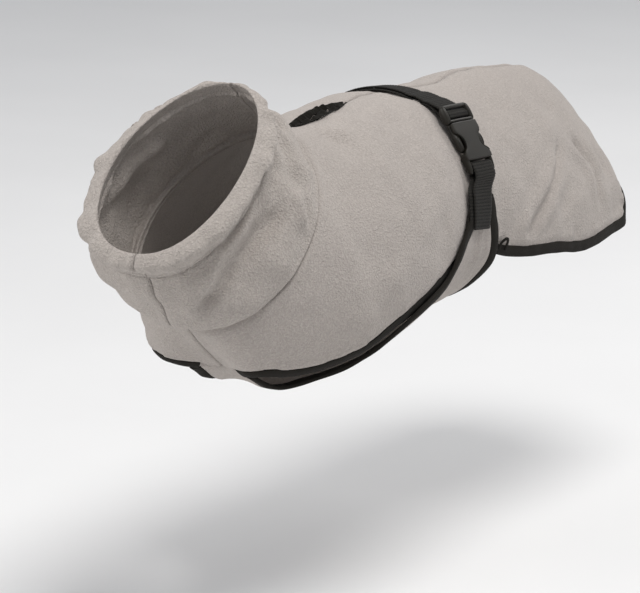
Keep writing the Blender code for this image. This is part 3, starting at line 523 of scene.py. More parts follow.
class Maker:
    """Makes mesh objects from grids that operators create."""

    @staticmethod
    def patch(bm: bmesh.types.BMesh, points: Array, across: Array | None = None) -> None:
        """Add a grid of faces through points.

        Args:
            bm: The mesh that it is added to.
            points: Rows and columns of points, in millimetres.
            across: Optional (u, v) for each point, in metres.
        """
        rows, columns = points.shape[:2]
        layer = bm.loops.layers.uv.verify()
        made = bmesh.ops.create_grid(bm, x_segments=columns - 1, y_segments=rows - 1, size=1.0)
        index = {}
        for vert in made["verts"]:
            i = round((vert.co.y + 1) / 2 * (rows - 1))
            j = round((vert.co.x + 1) / 2 * (columns - 1))
            index[vert] = (i, j)
            vert.co = Vector(points[i, j]) * MM
        if across is not None:
            for face in {face for vert in made["verts"] for face in vert.link_faces}:
                for loop in face.loops:
                    loop[layer].uv = across[index[loop.vert]]

    @staticmethod
    def finish(name: str, bm: bmesh.types.BMesh, material: bpy.types.Material,
               inside: Vector | None = None) -> bpy.types.Object:
        """Turn a mesh into a smooth object at the origin.

        Args:
            name: The object's name.
            bm: The mesh, which is used up.
            material: The object's material.
            inside: A point inside the form; faces are turned away from it. None leaves it to Blender.

        Returns:
            The new object.
        """
        bmesh.ops.remove_doubles(bm, verts=bm.verts[:], dist=WELD)
        bmesh.ops.recalc_face_normals(bm, faces=bm.faces[:])
        if inside is not None:
            away = sum((face.calc_center_median() - inside).dot(face.normal) * face.calc_area()
                       for face in bm.faces)
            if away < 0:
                bmesh.ops.reverse_faces(bm, faces=bm.faces[:])
        mesh = bpy.data.meshes.new(name)
        bm.to_mesh(mesh)
        bm.free()
        mesh.materials.append(material)
        mesh.shade_smooth()
        made = bpy.data.objects.new(name, mesh)
        bpy.context.scene.collection.objects.link(made)
        return made

    @staticmethod
    def thicken(piece: bpy.types.Object, thickness: float) -> None:
        """Give a sheet its thickness, inwards.

        Args:
            piece: The sheet.
            thickness: In millimetres.
        """
        solid = piece.modifiers.new("thickness", "SOLIDIFY")
        solid.thickness, solid.offset = thickness * MM, -1.0
        solid.use_even_offset, solid.use_quality_normals = False, True

    @staticmethod
    def with_ends(points: Array) -> Array:
        """Draw each end of a tube together to a point.

        Args:
            points: The tube's rings of points.

        Returns:
            The rings, with one more at each end.
        """
        first, last = (np.repeat(points[k].mean(axis=0)[None, None], points.shape[1], 1) for k in (0, -1))
        return np.concatenate((first, points, last))

    @staticmethod
    def tube(bm: bmesh.types.BMesh, centres: Array, first: Array, second: Array, section: Array,
             run: Array | None = None) -> None:
        """Carry a closed section along centres, and close its ends.

        Args:
            bm: The mesh that it is added to.
            centres: Points of the line.
            first: Direction of the section's first axis at each point.
            second: Direction of its second axis.
            section: Its points, one set or one for each centre, open: the last point joins the first.
            run: Distance along the line, for the weave.
        """
        if section.ndim == 2:
            section = np.repeat(section[None], len(centres), axis=0)
        section = np.concatenate((section, section[:, :1]), axis=1)
        points = centres[:, None] + first[:, None] * section[..., :1] + second[:, None] * section[..., 1:]
        run = run_length(centres) if run is None else run
        run = np.concatenate((run[:1], run, run[-1:]))
        across = np.meshgrid(run * MM, run_length(section[0]) * MM, indexing="ij")
        Maker.patch(bm, Maker.with_ends(points), np.stack(across, -1))


def round_square(count: int, power: float) -> tuple[Array, Array]:
    """Both coordinates of a rounded square of half size 1.

    Args:
        count: How many points it has.
        power: How square it is.

    Returns:
        The first and the second coordinates.
    """
    turn = np.linspace(0, 2 * np.pi, count, endpoint=False)
    return tuple(np.sign(wave) * np.abs(wave)**(2 / power) for wave in (np.cos(turn), np.sin(turn)))


def rounded(half: Array, deep: Array, power: float, count: int = 20) -> Array:
    """A rounded rectangle as a section.

    Args:
        half: Its half width, or one for each section.
        deep: Its half height, or one for each section.
        power: How square it is.
        count: How many points it has.

    Returns:
        The section's points.
    """
    a, b = round_square(count, power)
    return np.stack((np.multiply.outer(half, a), np.multiply.outer(deep, b)), -1)


# ---------------------------------------------------------------- finishes

class Graph:
    """Writes a material's nodes briefly."""

    def __init__(self, name: str) -> None:
        """Start a material with a plain shader.

        Args:
            name: The material's name.
        """
        self.material = bpy.data.materials.new(name)
        self.material.use_nodes = True
        self.tree = self.material.node_tree
        self.shader = self.tree.nodes["Principled BSDF"]

    def node(self, kind: str, sockets: dict | None = None, **options: object) -> bpy.types.Node:
        """Add a node.

        Args:
            kind: The node's type.
            sockets: Values, or other nodes' outputs, by input.
            options: The node's settings.

        Returns:
            The node.
        """
        made = self.tree.nodes.new(kind)
        for key, value in options.items():
            setattr(made, key, value)
        for key, value in (sockets or {}).items():
            self.feed(made.inputs[key], value)
        return made

    def feed(self, socket: Socket, value: object) -> None:
        """Set an input, or link it to another node's output.

        Args:
            socket: The input.
            value: A value, or an output.
        """
        if isinstance(value, Socket):
            self.tree.links.new(value, socket)
        else:
            socket.default_value = value

    def math(self, operation: str, *values: object) -> Socket:
        """A Math node's output."""
        return self.node("ShaderNodeMath", dict(enumerate(values)), operation=operation).outputs[0]

    def noise(self, vector: Socket, scale: float, detail: float = 2.0, rough: float = 0.5) -> Socket:
        """A Noise node's factor."""
        sockets = {"Vector": vector, "Scale": scale, "Detail": detail, "Roughness": rough}
        return self.node("ShaderNodeTexNoise", sockets).outputs["Fac"]

    def vector(self, operation: str, **sockets: object) -> Socket:
        """A Vector Math node's output; a and b are its vectors."""
        places = {{"a": 0, "b": 1}.get(key, key): value for key, value in sockets.items()}
        return self.node("ShaderNodeVectorMath", places, operation=operation).outputs[0]

    def ramp(self, value: Socket, low: float, high: float, dark: Colour, light: Colour) -> Socket:
        """Colours between two ends.

        Args:
            value: What picks the colour.
            low: Where it is dark.
            high: Where it is light.
            dark: The colour at low.
            light: The colour at high.

        Returns:
            The colour.
        """
        made = self.node("ShaderNodeValToRGB", {"Fac": value})
        ends = made.color_ramp.elements
        ends[0].position, ends[1].position = low, high
        ends[0].color, ends[1].color = (*dark, 1.0), (*light, 1.0)
        return made.outputs["Color"]

    def multiply(self, first: Socket, second: Socket) -> Socket:
        """Two colours multiplied.

        Args:
            first: A colour.
            second: A colour.

        Returns:
            The product.
        """
        made = self.node("ShaderNodeMix", data_type="RGBA", blend_type="MULTIPLY")
        made.inputs[0].default_value = 1.0
        self.tree.links.new(first, made.inputs[6])
        self.tree.links.new(second, made.inputs[7])
        return made.outputs[2]

    def bump(self, height: Socket, distance: float, strength: float, under: Socket | None = None) -> Socket:
        """A normal that a height bends.

        Args:
            height: The height.
            distance: Its depth in metres.
            strength: How much of it is used.
            under: A normal that it is laid over.

        Returns:
            The normal.
        """
        sockets = {"Height": height, "Distance": distance, "Strength": strength}
        if under is not None:
            sockets["Normal"] = under
        return self.node("ShaderNodeBump", sockets).outputs["Normal"]

    def wire(self, sockets: dict[str, object]) -> None:
        """Set or link inputs of the shader."""
        for name, value in sockets.items():
            self.feed(self.shader.inputs[name], value)


class Slot(Enum):
    """The record's material slots."""

    FLEECE = "fleece"
    COLLAR = "fleece_collar"
    BINDING = "binding"
    WEBBING = "webbing"
    PLASTIC = "plastic"


@dataclass(frozen=True)
class FleeceFinish:
    """Short-napped fleece: small tufts with painted shade between them, loose fibres on top, soft light on
    its edges.

    Attributes:
        name: The material's name.
        tuft: Colour of the tufts.
        hollow_shade: Colour between them, darker than the tufts as painted shade in the hollows.
        tuft_mm: Rough size of a tuft.
        depth_mm: How deep the nap is.
    """

    name: str
    tuft: Colour
    hollow_shade: Colour
    tuft_mm: float = 1.35
    depth_mm: float = 1.2

    def make(self) -> bpy.types.Material:
        """Build the material.

        Returns:
            The material.
        """
        g = Graph(self.name)
        space = g.node("ShaderNodeTexCoord").outputs["Object"]
        warp = g.node("ShaderNodeTexNoise", {"Vector": space, "Scale": 420.0, "Detail": 1.0}).outputs["Color"]
        offset = g.vector("SCALE", a=g.vector("SUBTRACT", a=warp, b=(0.5, 0.5, 0.5)), Scale=0.0022)
        bent = g.vector("ADD", a=space, b=offset)
        sockets = {"Vector": bent, "Scale": 1000.0 / self.tuft_mm, "Smoothness": 0.6}
        cells = g.node("ShaderNodeTexVoronoi", sockets, feature="SMOOTH_F1")
        tufts = g.math("SUBTRACT", 1.0, cells.outputs["Distance"])
        clumps = g.noise(bent, 480.0, 3.0, 0.6)
        fibres = g.noise(space, 2600.0, 2.0, 0.7)
        height = g.math("ADD", g.math("MULTIPLY", tufts, 0.6), g.math("MULTIPLY", clumps, 0.7))
        shade = g.math("ADD", g.math("MULTIPLY", height, 0.8), g.math("MULTIPLY", fibres, 0.22))
        # Painted shade: the hollows between the tufts take the darker colour, the tuft tops the lighter one.
        colour = g.ramp(shade, 0.56, 1.0, self.hollow_shade, self.tuft)
        patches = g.ramp(g.noise(space, 22.0, 3.0, 0.55), 0.3, 0.75, (0.955, 0.955, 0.96), (1.0, 1.0, 1.0))
        nap = g.bump(height, self.depth_mm * MM, 1.0)
        g.wire({"Base Color": g.multiply(colour, patches), "Roughness": 0.95, "Specular IOR Level": 0.12,
                "Sheen Weight": 0.2, "Sheen Roughness": 0.5, "Sheen Tint": (0.93, 0.90, 0.87, 1.0),
                "Normal": g.bump(fibres, 0.16 * MM, 0.7, nap)})
        return g.material


@dataclass(frozen=True)
class TapeFinish:
    """Woven tape or elastic, with its threads across the band.

    Attributes:
        name: The material's name.
        colour: Its colour.
        thread_mm: Distance between threads.
        sheen: How much soft light its edges take.
    """

    name: str
    colour: Colour
    thread_mm: float = 0.62
    sheen: float = 0.02

    def make(self) -> bpy.types.Material:
        """Build the material.

        Returns:
            The material.
        """
        g = Graph(self.name)
        place = g.node("ShaderNodeTexCoord")
        axes = g.node("ShaderNodeSeparateXYZ", {0: place.outputs["UV"]})
        turns = 2 * math.pi / (self.thread_mm * MM)
        across = g.math("SINE", g.math("MULTIPLY", axes.outputs[0], turns))
        along = g.math("SINE", g.math("MULTIPLY", axes.outputs[1], turns * 0.8))
        weave = g.math("MULTIPLY", across, g.math("ADD", g.math("MULTIPLY", along, 0.35), 0.65))
        fuzz = g.noise(place.outputs["Object"], 1500.0, 2.0, 0.6)
        light = tuple(min(1.0, c * 1.7 + 0.003) for c in self.colour)
        shade = g.math("ADD", g.math("MULTIPLY", weave, 0.2), fuzz)
        threads = g.bump(weave, 0.10 * MM, 0.7)
        g.wire({"Base Color": g.ramp(shade, 0.25, 0.85, self.colour, light), "Roughness": 0.85,
                "Specular IOR Level": 0.12, "Sheen Weight": self.sheen, "Sheen Roughness": 0.5,
                "Normal": g.bump(fuzz, 0.16 * MM, 0.5, threads)})
        return g.material


@dataclass(frozen=True)
class WebbingFinish:
    """Woven webbing: the ribs are in the mesh; the yarns and painted shade in the grooves between the ribs
    are here.
    """

    name: str = "webbing_woven"
    colour: Colour = (0.0105, 0.0093, 0.0074)

    def make(self) -> bpy.types.Material:
        """Build the material.

        Returns:
            The material.
        """
        g = Graph(self.name)
        place = g.node("ShaderNodeTexCoord")
        axes = g.node("ShaderNodeSeparateXYZ", {0: place.outputs["UV"]})
        along = g.math("MULTIPLY", axes.outputs[0], 5200.0)
        across = g.math("MULTIPLY", axes.outputs[1], 6800.0)
        slants = [g.math("SINE", g.math(way, along, across)) for way in ("ADD", "SUBTRACT")]
        yarns = g.math("MAXIMUM", *slants)
        fuzz = g.noise(place.outputs["Object"], 1100.0, 3.0, 0.6)
        light = tuple(c * 1.8 + 0.003 for c in self.colour)
        turns = g.math("MULTIPLY", axes.outputs[0], math.pi / (RIB_MM * MM))
        ribs = g.math("ABSOLUTE", g.math("SINE", turns))
        woven = g.ramp(g.math("ADD", g.math("MULTIPLY", yarns, 0.15), fuzz), 0.3, 0.8, self.colour, light)
        # Painted shade: the grooves between the ribs are darkened to about a fifth of the yarn's colour.
        rib_groove_shade = g.ramp(ribs, 0.1, 0.75, (0.22, 0.22, 0.22), (1.0, 1.0, 1.0))
        threads = g.bump(yarns, 0.12 * MM, 0.7)
        g.wire({"Base Color": g.multiply(woven, rib_groove_shade), "Roughness": 0.75, "Specular IOR Level": 0.2,
                "Sheen Weight": 0.03, "Normal": g.bump(fuzz, 0.1 * MM, 0.4, threads)})
        return g.material


@dataclass(frozen=True)
class PlasticFinish:
    """Moulded plastic with a fine spark-eroded skin and a roughness that varies unevenly over it."""

    name: str = "buckle_plastic"
    colour: Colour = (0.0145, 0.0128, 0.0098)

    def make(self) -> bpy.types.Material:
        """Build the material.

        Returns:
            The material.
        """
        g = Graph(self.name)
        space = g.node("ShaderNodeTexCoord").outputs["Object"]
        grain = g.noise(space, 2200.0, 2.0, 0.5)
        flow = g.noise(space, 120.0, 2.0, 0.5)
        light = tuple(c * 1.35 for c in self.colour)
        sockets = {"Value": g.math("ADD", grain, flow), "From Min": 0.6, "From Max": 1.4, "To Min": 0.34,
                   "To Max": 0.48}
        rough = g.node("ShaderNodeMapRange", sockets)
        g.wire({"Base Color": g.ramp(flow, 0.3, 0.7, self.colour, light), "Roughness": rough.outputs[0],
                "Specular IOR Level": 0.30, "Normal": g.bump(grain, 0.035 * MM, 0.5)})
        return g.material


@dataclass
class Finishes:
    """One material of each kind."""

    fleece: bpy.types.Material = field(default_factory=FleeceFinish(
        "fleece_nap", (0.535, 0.487, 0.451), (0.40, 0.361, 0.332)).make)
    # Painted light: the collar's copy of the fleece is a little lighter than the body's, standing in for the
    # brighter light on the collar.
    collar: bpy.types.Material = field(default_factory=FleeceFinish(
        "fleece_nap_collar_lit", (0.565, 0.514, 0.474), (0.405, 0.366, 0.335), 1.45, 1.6).make)
    tape: bpy.types.Material = field(default_factory=TapeFinish("tape_woven", (0.0120, 0.0105, 0.0085)).make)
    elastic: bpy.types.Material = field(default_factory=TapeFinish(
        "tape_elastic", (0.0080, 0.0070, 0.0055), 1.1).make)
    webbing: bpy.types.Material = field(default_factory=WebbingFinish().make)
    plastic: bpy.types.Material = field(default_factory=PlasticFinish().make)


def settle(piece: bpy.types.Object, node: str) -> None:
    """Let a piece ride on the coat and stand for its node, and report it.

    Args:
        piece: The piece.
        node: The CAD node that it replaces.
    """
    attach(piece, "root")
    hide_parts(node)
    LOG.info("%s made, in place of %s", piece.name, node)


# ---------------------------------------------------------------- the coat's parts

def slit_half(y: Array) -> Array:
    """Half the width that the slit leaves between the halves of the back, at y."""
    share = np.clip((y - SLIT_FROM_Y) / (SLIT_TO_Y - SLIT_FROM_Y), 0, 1)
    return SLIT_HALF_WIDTH * np.sin(np.pi * share)**0.8


def keep_side(points: Array, side: float, room: Array | float) -> Array:
    """Hold points on their own side of the middle.

    Args:
        points: The points.
        side: 1 on the wearer's left, -1 on its right.
        room: How far they keep from the middle.

    Returns:
        The points, moved where they must be.
    """
    kept = points.copy()
    kept[..., 0] = side * np.maximum(side * points[..., 0], room)
    return kept


def seam_dip(away: Array, deep: float, full: Array | float) -> Array:
    """How a sewn seam draws the cloth in and lets it swell beside it.

    Args:
        away: Distance from the seam.
        deep: How far it is drawn in.
        full: How far it swells.

    Returns:
        A height for each distance.
    """
    return full * bell(away, 4.6, 2.8) - deep * bell(away, 0, 1.1)


def edge_relief(edge: Array) -> Array:
    """How the cloth swells beside its tape and thins under it, from the distance to the tape's middle."""
    return 0.5 * bell(edge, 9.5, 3.0) - 0.75 * (1 - smooth_step(TAPE_REACH, TAPE_REACH + 2.4, edge))


def turned_in(edge: Array, surface: Surface, t: float, angle: Array) -> Array:
    """A seam allowance that turns in behind an edge.

    Args:
        edge: Points of the edge.
        surface: The surface that it turns behind.
        t: The edge's t.
        angle: The edge's angles.

    Returns:
        Rows of points, from the raw end to just inside the edge.
    """
    depths = np.array((4.6, 3.2, 2.0, 1.1, 0.45))[:, None, None]
    return edge[None] - surface.normal(t, angle)[None] * depths


@dataclass
class CoatBody:
    """The two halves of the coat behind the collar.

    Attributes:
        surface: The worn body.
        hem: The bound edge.
        finishes: The materials.
        columns: Sections along the body.
        rows: Sections round one half of it.
        throat: Columns of the chest between its middle and the hem.
        chest: Columns and rows of the chest above the hem.
    """

    surface: Surface
    hem: EdgeLine
    finishes: Finishes
    columns: int = 190
    rows: int = 72
    throat: int = 7
    chest: tuple[int, int] = (20, 30)

    def places(self) -> tuple[Array, Array]:
        """Places of the cloth on the wearer's left.

        Returns:
            (t, angle) of the chest's grid and of the rest.
        """
        chest, corner = (float(self.hem.share(row)) for row in (HEM_CHEST, HEM_CORNER))
        low = self.hem.beside(np.linspace(0, chest, self.chest[0]), 1.0, CLOTH_EDGE)
        along = self.hem.beside(np.linspace(chest, corner, self.columns), 1.0, CLOTH_EDGE)
        up = self.hem.beside(np.linspace(corner, 1, self.rows), 1.0, CLOTH_EDGE)
        first, last = low[-1], up[-1]
        top = np.stack((np.linspace(first[0], last[0], self.columns), np.full(self.columns, 180.0)), -1)
        left = np.stack((np.full(self.rows, first[0]), np.linspace(first[1], 180, self.rows)), -1)
        rest = blend_patch(along, top, left, np.concatenate((up[:-1], top[-1:])))

        middle = np.linspace(0, low[0, 1], self.throat + 1)[:-1]
        angles = np.concatenate((middle, low[:-1, 1], left[:, 1]))
        lower = np.concatenate((np.full(self.throat, low[0, 0]), low[:-1, 0], np.full(self.rows, first[0])))
        share = np.linspace(0, 1, self.chest[1])[:, None]
        t = SEAM_T + (lower - SEAM_T) * share
        return np.stack((t, np.broadcast_to(angles, t.shape)), -1), rest

    def relief(self, points: Array, t: Array, tape: Array) -> Array:
        """How far sewing and chance move the cloth in or out.

        Args:
            points: Places on the plain cloth.
            t: Their t.
            tape: Points along the middle of the hem's tape.

        Returns:
            The height at each place.
        """
        at_seam, neck, edge = np.abs(points[..., 0]), t * BODY_RING_MM, near_distance(points, tape)
        calm = smooth_step(4.5, 15.0, edge) * smooth_step(1.0, 9.0, neck)
        out = (Waves(64.0, 0.75, 5).at(points) + Waves(27.0, 0.30, 9).at(points)) * calm
        out += seam_dip(at_seam, 0.9, 0.45 * calm)
        out += 0.6 * bell(neck, 5.0, 3.0) - 0.7 * bell(neck, 0, 1.2)
        pull = Waves(13.0, 0.55, 21).at(tape)[::6]
        nearest = np.argmin(((points[..., None, :] - tape[None, None, ::6])**2).sum(-1), axis=-1)
        return out + pull[nearest] * bell(edge, 10.0, 5.0) + edge_relief(edge)

    def build(self) -> None:
        """Make both halves."""
        chest, rest = self.places()
        for name, side in SIDES:
            tape = self.hem.at(np.linspace(0, 1, 420), side)["centre"]
            bm = bmesh.new()
            for grid in (chest, rest):
                t, angle = grid[..., 0], grid[..., 1] * side
                points = self.surface.point(t, angle, self.relief(self.surface.point(t, angle), t, tape))
                if grid is chest:
                    points = np.concatenate((turned_in(points[0], self.surface, 0.1, angle[0]), points))
                    angle = angle[-1:]
                on_back = smooth_step(150, 160, np.abs(angle))
                Maker.patch(bm, keep_side(points, side, MIDDLE_ROOM + slit_half(points[..., 1]) * on_back))
            piece = Maker.finish("body_cloth_" + name, bm, self.finishes.fleece, Vector((0, 0, -0.09)))
            Maker.thicken(piece, SHELL)
            settle(piece, "body_" + name)


@dataclass
class Collar:
    """The standing collar, with its casing turned in at the rim.

    Attributes:
        surface: The worn collar.
        finishes: The materials.
        columns: Sections round one half of it.
        rows: Rows of points below the casing's stitches, above them and inside the casing.
        smoothed: How many rows at the rim are rounded off.
    """

    surface: Surface
    finishes: Finishes
    columns: int = 120
    rows: tuple[int, int, int] = (46, 40, 16)
    smoothed: int = 8

    def casing_inside(self, angle: Array, t: Array) -> Array:
        """Inner points of the casing, from the rim down to the line that stitches it.

        Args:
            angle: Degrees round the collar.
            t: How far down, to CASING_T.

        Returns:
            A point for each place.
        """
        rim, seam = self.surface.point(0.0, angle), self.surface.point(CASING_T, angle, -FLEECE)
        ring = self.surface.smooth(0.0, np.linspace(-180, 175, 72))
        rim = rim + unit(ring.mean(axis=0) - rim) * CASING_EDGE
        bulge = 1.2 * np.sin(np.pi * np.clip(t / CASING_T, 0, 1))
        inward = unit(ring.mean(axis=0) - rim)
        return rim + (seam - rim) * (t / CASING_T)[..., None] - inward * bulge[..., None] * 0.3

    def gathers(self, t: Array, angle: Array, side: float) -> Array:
        """Uneven gathers that the elastic draws into the casing and a little below it.

        Args:
            t: Ring numbers.
            angle: Degrees round the collar.
            side: 1 or -1, for uneven sides.

        Returns:
            A height for each place.
        """
        turn = np.radians(angle)
        wave = np.sin(19 * turn + 1.3 * np.sin(3 * turn))
        wave += 0.6 * np.sin(31 * turn + 2.0 + side) + 0.5 * np.sin(11 * turn + 0.7)
        strong = 0.95 * bell(t, 1.0, 1.0) + 0.5 * bell(t, 2.75, 0.5)
        return wave * strong * (1 - bell(angle, 0, 8.0))

    def build(self) -> None:
        """Make both halves."""
        last = self.surface.last
        outer_t = np.concatenate((np.linspace(last - SEAM_T, CASING_T + 0.35, self.rows[0]),
                                  np.linspace(CASING_T + 0.3, 0, self.rows[1])))
        inner_t = np.linspace(0.05, CASING_T, self.rows[2])
        rim = slice(len(outer_t) + 1, len(outer_t) + 1 + self.smoothed)
        for name, side in SIDES:
            angles = np.linspace(0, 180, self.columns) * side
            t, angle = np.meshgrid(outer_t, angles, indexing="ij")
            points = self.surface.point(t, angle)
            seam, stitch = (last - t) * COLLAR_RING_MM, (t - CASING_T) * CASING_RING_MM
            out = Waves(46.0, 0.9, 31).at(points) + Waves(21.0, 0.4, 33).at(points)
            out = out * smooth_step(1.0, 9.0, seam) + self.gathers(t, angle, side)
            out += 0.8 * bell(seam, 6.0, 3.5) - 0.7 * bell(seam, 0, 1.2) - 2.2 * bell(stitch, 0, 1.5)
            points = self.surface.point(t, angle, out + seam_dip(np.abs(points[..., 0]), 0.9, 0.4))
            points = np.concatenate((turned_in(points[0], self.surface, last - 0.1, angle[0]), points))
            t2, angle2 = np.meshgrid(inner_t, angles, indexing="ij")
            inside = self.casing_inside(angle2, t2)
            points = keep_side(np.concatenate((points, inside)), side, MIDDLE_ROOM)
            for _ in range(2):
                near = points[rim.start - 1:rim.stop + 1]
                points[rim] = (near[:-2] + 2 * near[1:-1] + near[2:]) / 4
            bm = bmesh.new()
            Maker.patch(bm, points)
            piece = Maker.finish("collar_cloth_" + name, bm, self.finishes.collar,
                                 Vector((0, -0.24, -0.04)))
            Maker.thicken(piece, COLLAR_SHELL)
            settle(piece, "collar_" + name)


def flap_lift(t: Array) -> Array:
    """The flap leaves the chest level with it and rides over the body behind the front legs."""
    return FLAP_OUTSIDE * smooth_step(2.7, 4.2, t)


@dataclass
class BellyFlap:
    """The strip between the front legs and the two wings.

    Attributes:
        surface: The worn flap.
        front: Its bound front edge on the wearer's left.
        rear: The left half of its bound rear edge.
        finishes: The materials.
        strip: Rows of the strip, and columns of its half.
        wing: Columns and rows of a wing.
        middle: How far round the strip's columns spread on the rear edge, in degrees.
    """

    surface: Surface
    front: EdgeLine
    rear: EdgeLine
    finishes: Finishes
    strip: tuple[int, int] = (30, 9)
    wing: tuple[int, int] = (90, 60)
    middle: float = 14.0

    def build(self) -> None:
        """Make the flap."""
        join = float(self.front.share(FLAP_JOIN))
        strip = self.front.beside(np.linspace(0, join, self.strip[0]), -1.0, CLOTH_EDGE)
        wing = self.front.beside(np.linspace(join, 1, self.wing[0]), -1.0, CLOTH_EDGE)
        angles = np.concatenate((np.linspace(0, self.middle, self.strip[1])[:-1],
                                 np.linspace(self.middle, FLAP_REAR_HALF[-1][1], self.wing[0])))
        at = np.interp(angles, self.rear.places[:, 1], self.rear.fine)
        rear = self.rear.beside(self.rear.share(at), 1.0, CLOTH_EDGE)
        strip = np.concatenate(([(strip[0, 0] - 0.36, strip[0, 1] - 1.2)], strip))
        share = np.linspace(0, 1, self.strip[1])
        inner = np.stack((np.full(self.strip[1] - 1, wing[0, 0]), wing[0, 1] * share[:-1]), -1)
        front = np.concatenate((inner, wing))
        grids = [np.stack((np.repeat(strip[:, :1], self.strip[1], 1), strip[:, 1:] * share), -1),
                 front + (rear - front) * np.linspace(0, 1, self.wing[1])[:, None, None]]
        tape = np.concatenate([line.at(np.linspace(0, 1, 200))["centre"] for line in (self.front, self.rear)])
        bm = bmesh.new()
        for grid in grids:
            whole = np.concatenate((grid[:, :0:-1] * (1, -1), grid), axis=1)
            t, angle = whole[..., 0], whole[..., 1]
            points = self.surface.point(t, angle, flap_lift(t))
            edge = near_distance(np.concatenate((np.abs(points[..., :1]), points[..., 1:]), -1), tape[::4])
            out = Waves(55.0, 0.7, 41).at(points) + Waves(24.0, 0.25, 43).at(points)
            out = out * smooth_step(4.5, 14.0, edge) + edge_relief(edge)
            Maker.patch(bm, self.surface.point(t, angle, flap_lift(t) + out))
        piece = Maker.finish("belly_flap_cloth", bm, self.finishes.fleece, Vector((0, -0.1, -0.09)))
        Maker.thicken(piece, SHELL)
        settle(piece, "belly_flap")


@dataclass
class EdgeTape:
    """Tape folded over a raw edge and sewn down near its inner side.

    Attributes:
        name: Name of the node that it stands for.
        line: The bound edge.
        side: 1 on the wearer's left, -1 on its right.
        finish: The tape's material.
        inward: 1 or -1, the way from the line to the cloth.
        broad: t from, t to and how many millimetres wider the tape is spread between them.
        step: Distance between its sections.
        stitch: Length of a stitch.
        half_deep: Half of its thickness, with the cloth inside it.
    """

    name: str
    line: EdgeLine
    side: float
    finish: bpy.types.Material
    inward: float = 1.0
    broad: tuple[float, float, float] = (0.0, 1.0, 0.0)
    step: float = 1.1
    stitch: float = 3.0
    half_deep: float = 2.05

    def build(self) -> None:
        """Make the tape."""
        steps = int(self.line.length[-1] / self.step)
        place = self.line.at(np.linspace(0, 1, steps), self.side)
        centre = place["centre"]
        a, b = round_square(24, 2 / 0.62)
        first, last, extra = self.broad
        t, soft = place["t"], 0.35
        extra *= smooth_step(first, first + soft, t) * (1 - smooth_step(last - soft, last, t))
        wide = TAPE_WIDTH / 2 * (1 + 0.035 * Waves(30.0, 1.0, 51).at(centre)) + extra / 2
        dips = 0.75 + 0.25 * np.cos(2 * np.pi * place["run"] / self.stitch)
        deep = (self.half_deep + 0.12 * Waves(17.0, 1.0, 53).at(centre))[:, None]
        deep = deep * (1.0 - 0.10 * smooth_step(0.0, 1.0, a)) - 0.38 * bell(a, 0.62, 0.11) * dips[:, None]
        wide = wide[:, None] * a * np.sign(self.inward * self.side)
        section = np.stack((wide, deep * b - FLEECE / 2), -1)
        bm = bmesh.new()
        Maker.tube(bm, centre, place["across"], place["up"], section, place["run"])
        if self.line.rows is HEM_LINE:
            for vert in bm.verts:
                vert.co.x = self.side * max(self.side * vert.co.x, 0.1 * MM)
        piece = Maker.finish(self.name + "_tape", bm, self.finish)
        settle(piece, self.name)


@dataclass
class LeadSlit:
    """The gathered tape round the slit for the lead.

    Attributes:
        surface: The body.
        finishes: The materials.
        rows: Rows of points across each face of the tape.
        ruffles: Gathers along the slit.
        over: How far the tape reaches over the cloth.
        into: How far it reaches into the slit.
        rise: Height of its lip.
        thick: Its thickness.
    """

    surface: Surface
    finishes: Finishes
    rows: int = 26
    ruffles: float = 8.5
    over: float = 1.6
    into: float = 6.6
    rise: float = 2.6
    thick: float = 1.3

    def build(self) -> None:
        """Make the two lips."""
        for name, side in SIDES:
            y = np.linspace(SLIT_FROM_Y + 1.5, SLIT_TO_Y - 1.5, 170)
            t = np.linspace(1.0, 5.0, 300)
            top = self.surface.point(np.interp(y, self.surface.point(t, 180.0)[..., 1], t), 180.0)
            share = (y - SLIT_FROM_Y) / (SLIT_TO_Y - SLIT_FROM_Y)
            fade = np.sin(np.pi * share)**0.5
            uneven = 0.35 * np.sin(5.1 * share + side) + 0.22 * np.sin(13.0 * share + 2 * side)
            phase = 2 * np.pi * (self.ruffles * share + uneven)
            wave = np.sin(phase) + 0.35 * np.sin(2.3 * phase + 1.0 + side)
            outer = slit_half(y) + self.over
            inner = np.maximum(0.25, slit_half(y) - self.into - 1.3 * np.sin(phase * 0.5 + side))
            rows = []
            for way in np.linspace(0, 1, self.rows):
                lip = self.rise * np.sin(np.pi * way) * (0.55 + 0.45 * wave)
                height = 0.5 + lip + 1.2 * wave * way
                rows.append(np.stack((side * (outer + (inner - outer) * way),
                                      top[:, 1] + 0.8 * np.cos(phase) * way * fade,
                                      top[:, 2] + height * fade - 2.2 * way), -1))
            points = np.stack(rows, axis=1)
            deep = self.thick * (1 - 0.85 * np.abs(np.linspace(-1, 1, self.rows)))
            back = points[:, ::-1] - deep[None, :, None] * (0, 0, 1)
            bm = bmesh.new()
            Maker.patch(bm, np.concatenate((points, back), axis=1), self.stripes(y, 2 * self.rows))
            piece = Maker.finish("slit_ruffle_" + name, bm, self.finishes.elastic)
            settle(piece, "slit_binding_" + name)

    @staticmethod
    def stripes(y: Array, columns: int) -> Array:
        """Texture places along and across the tape."""
        return np.stack(np.meshgrid(y * MM, np.linspace(0, 0.018, columns), indexing="ij"), -1)


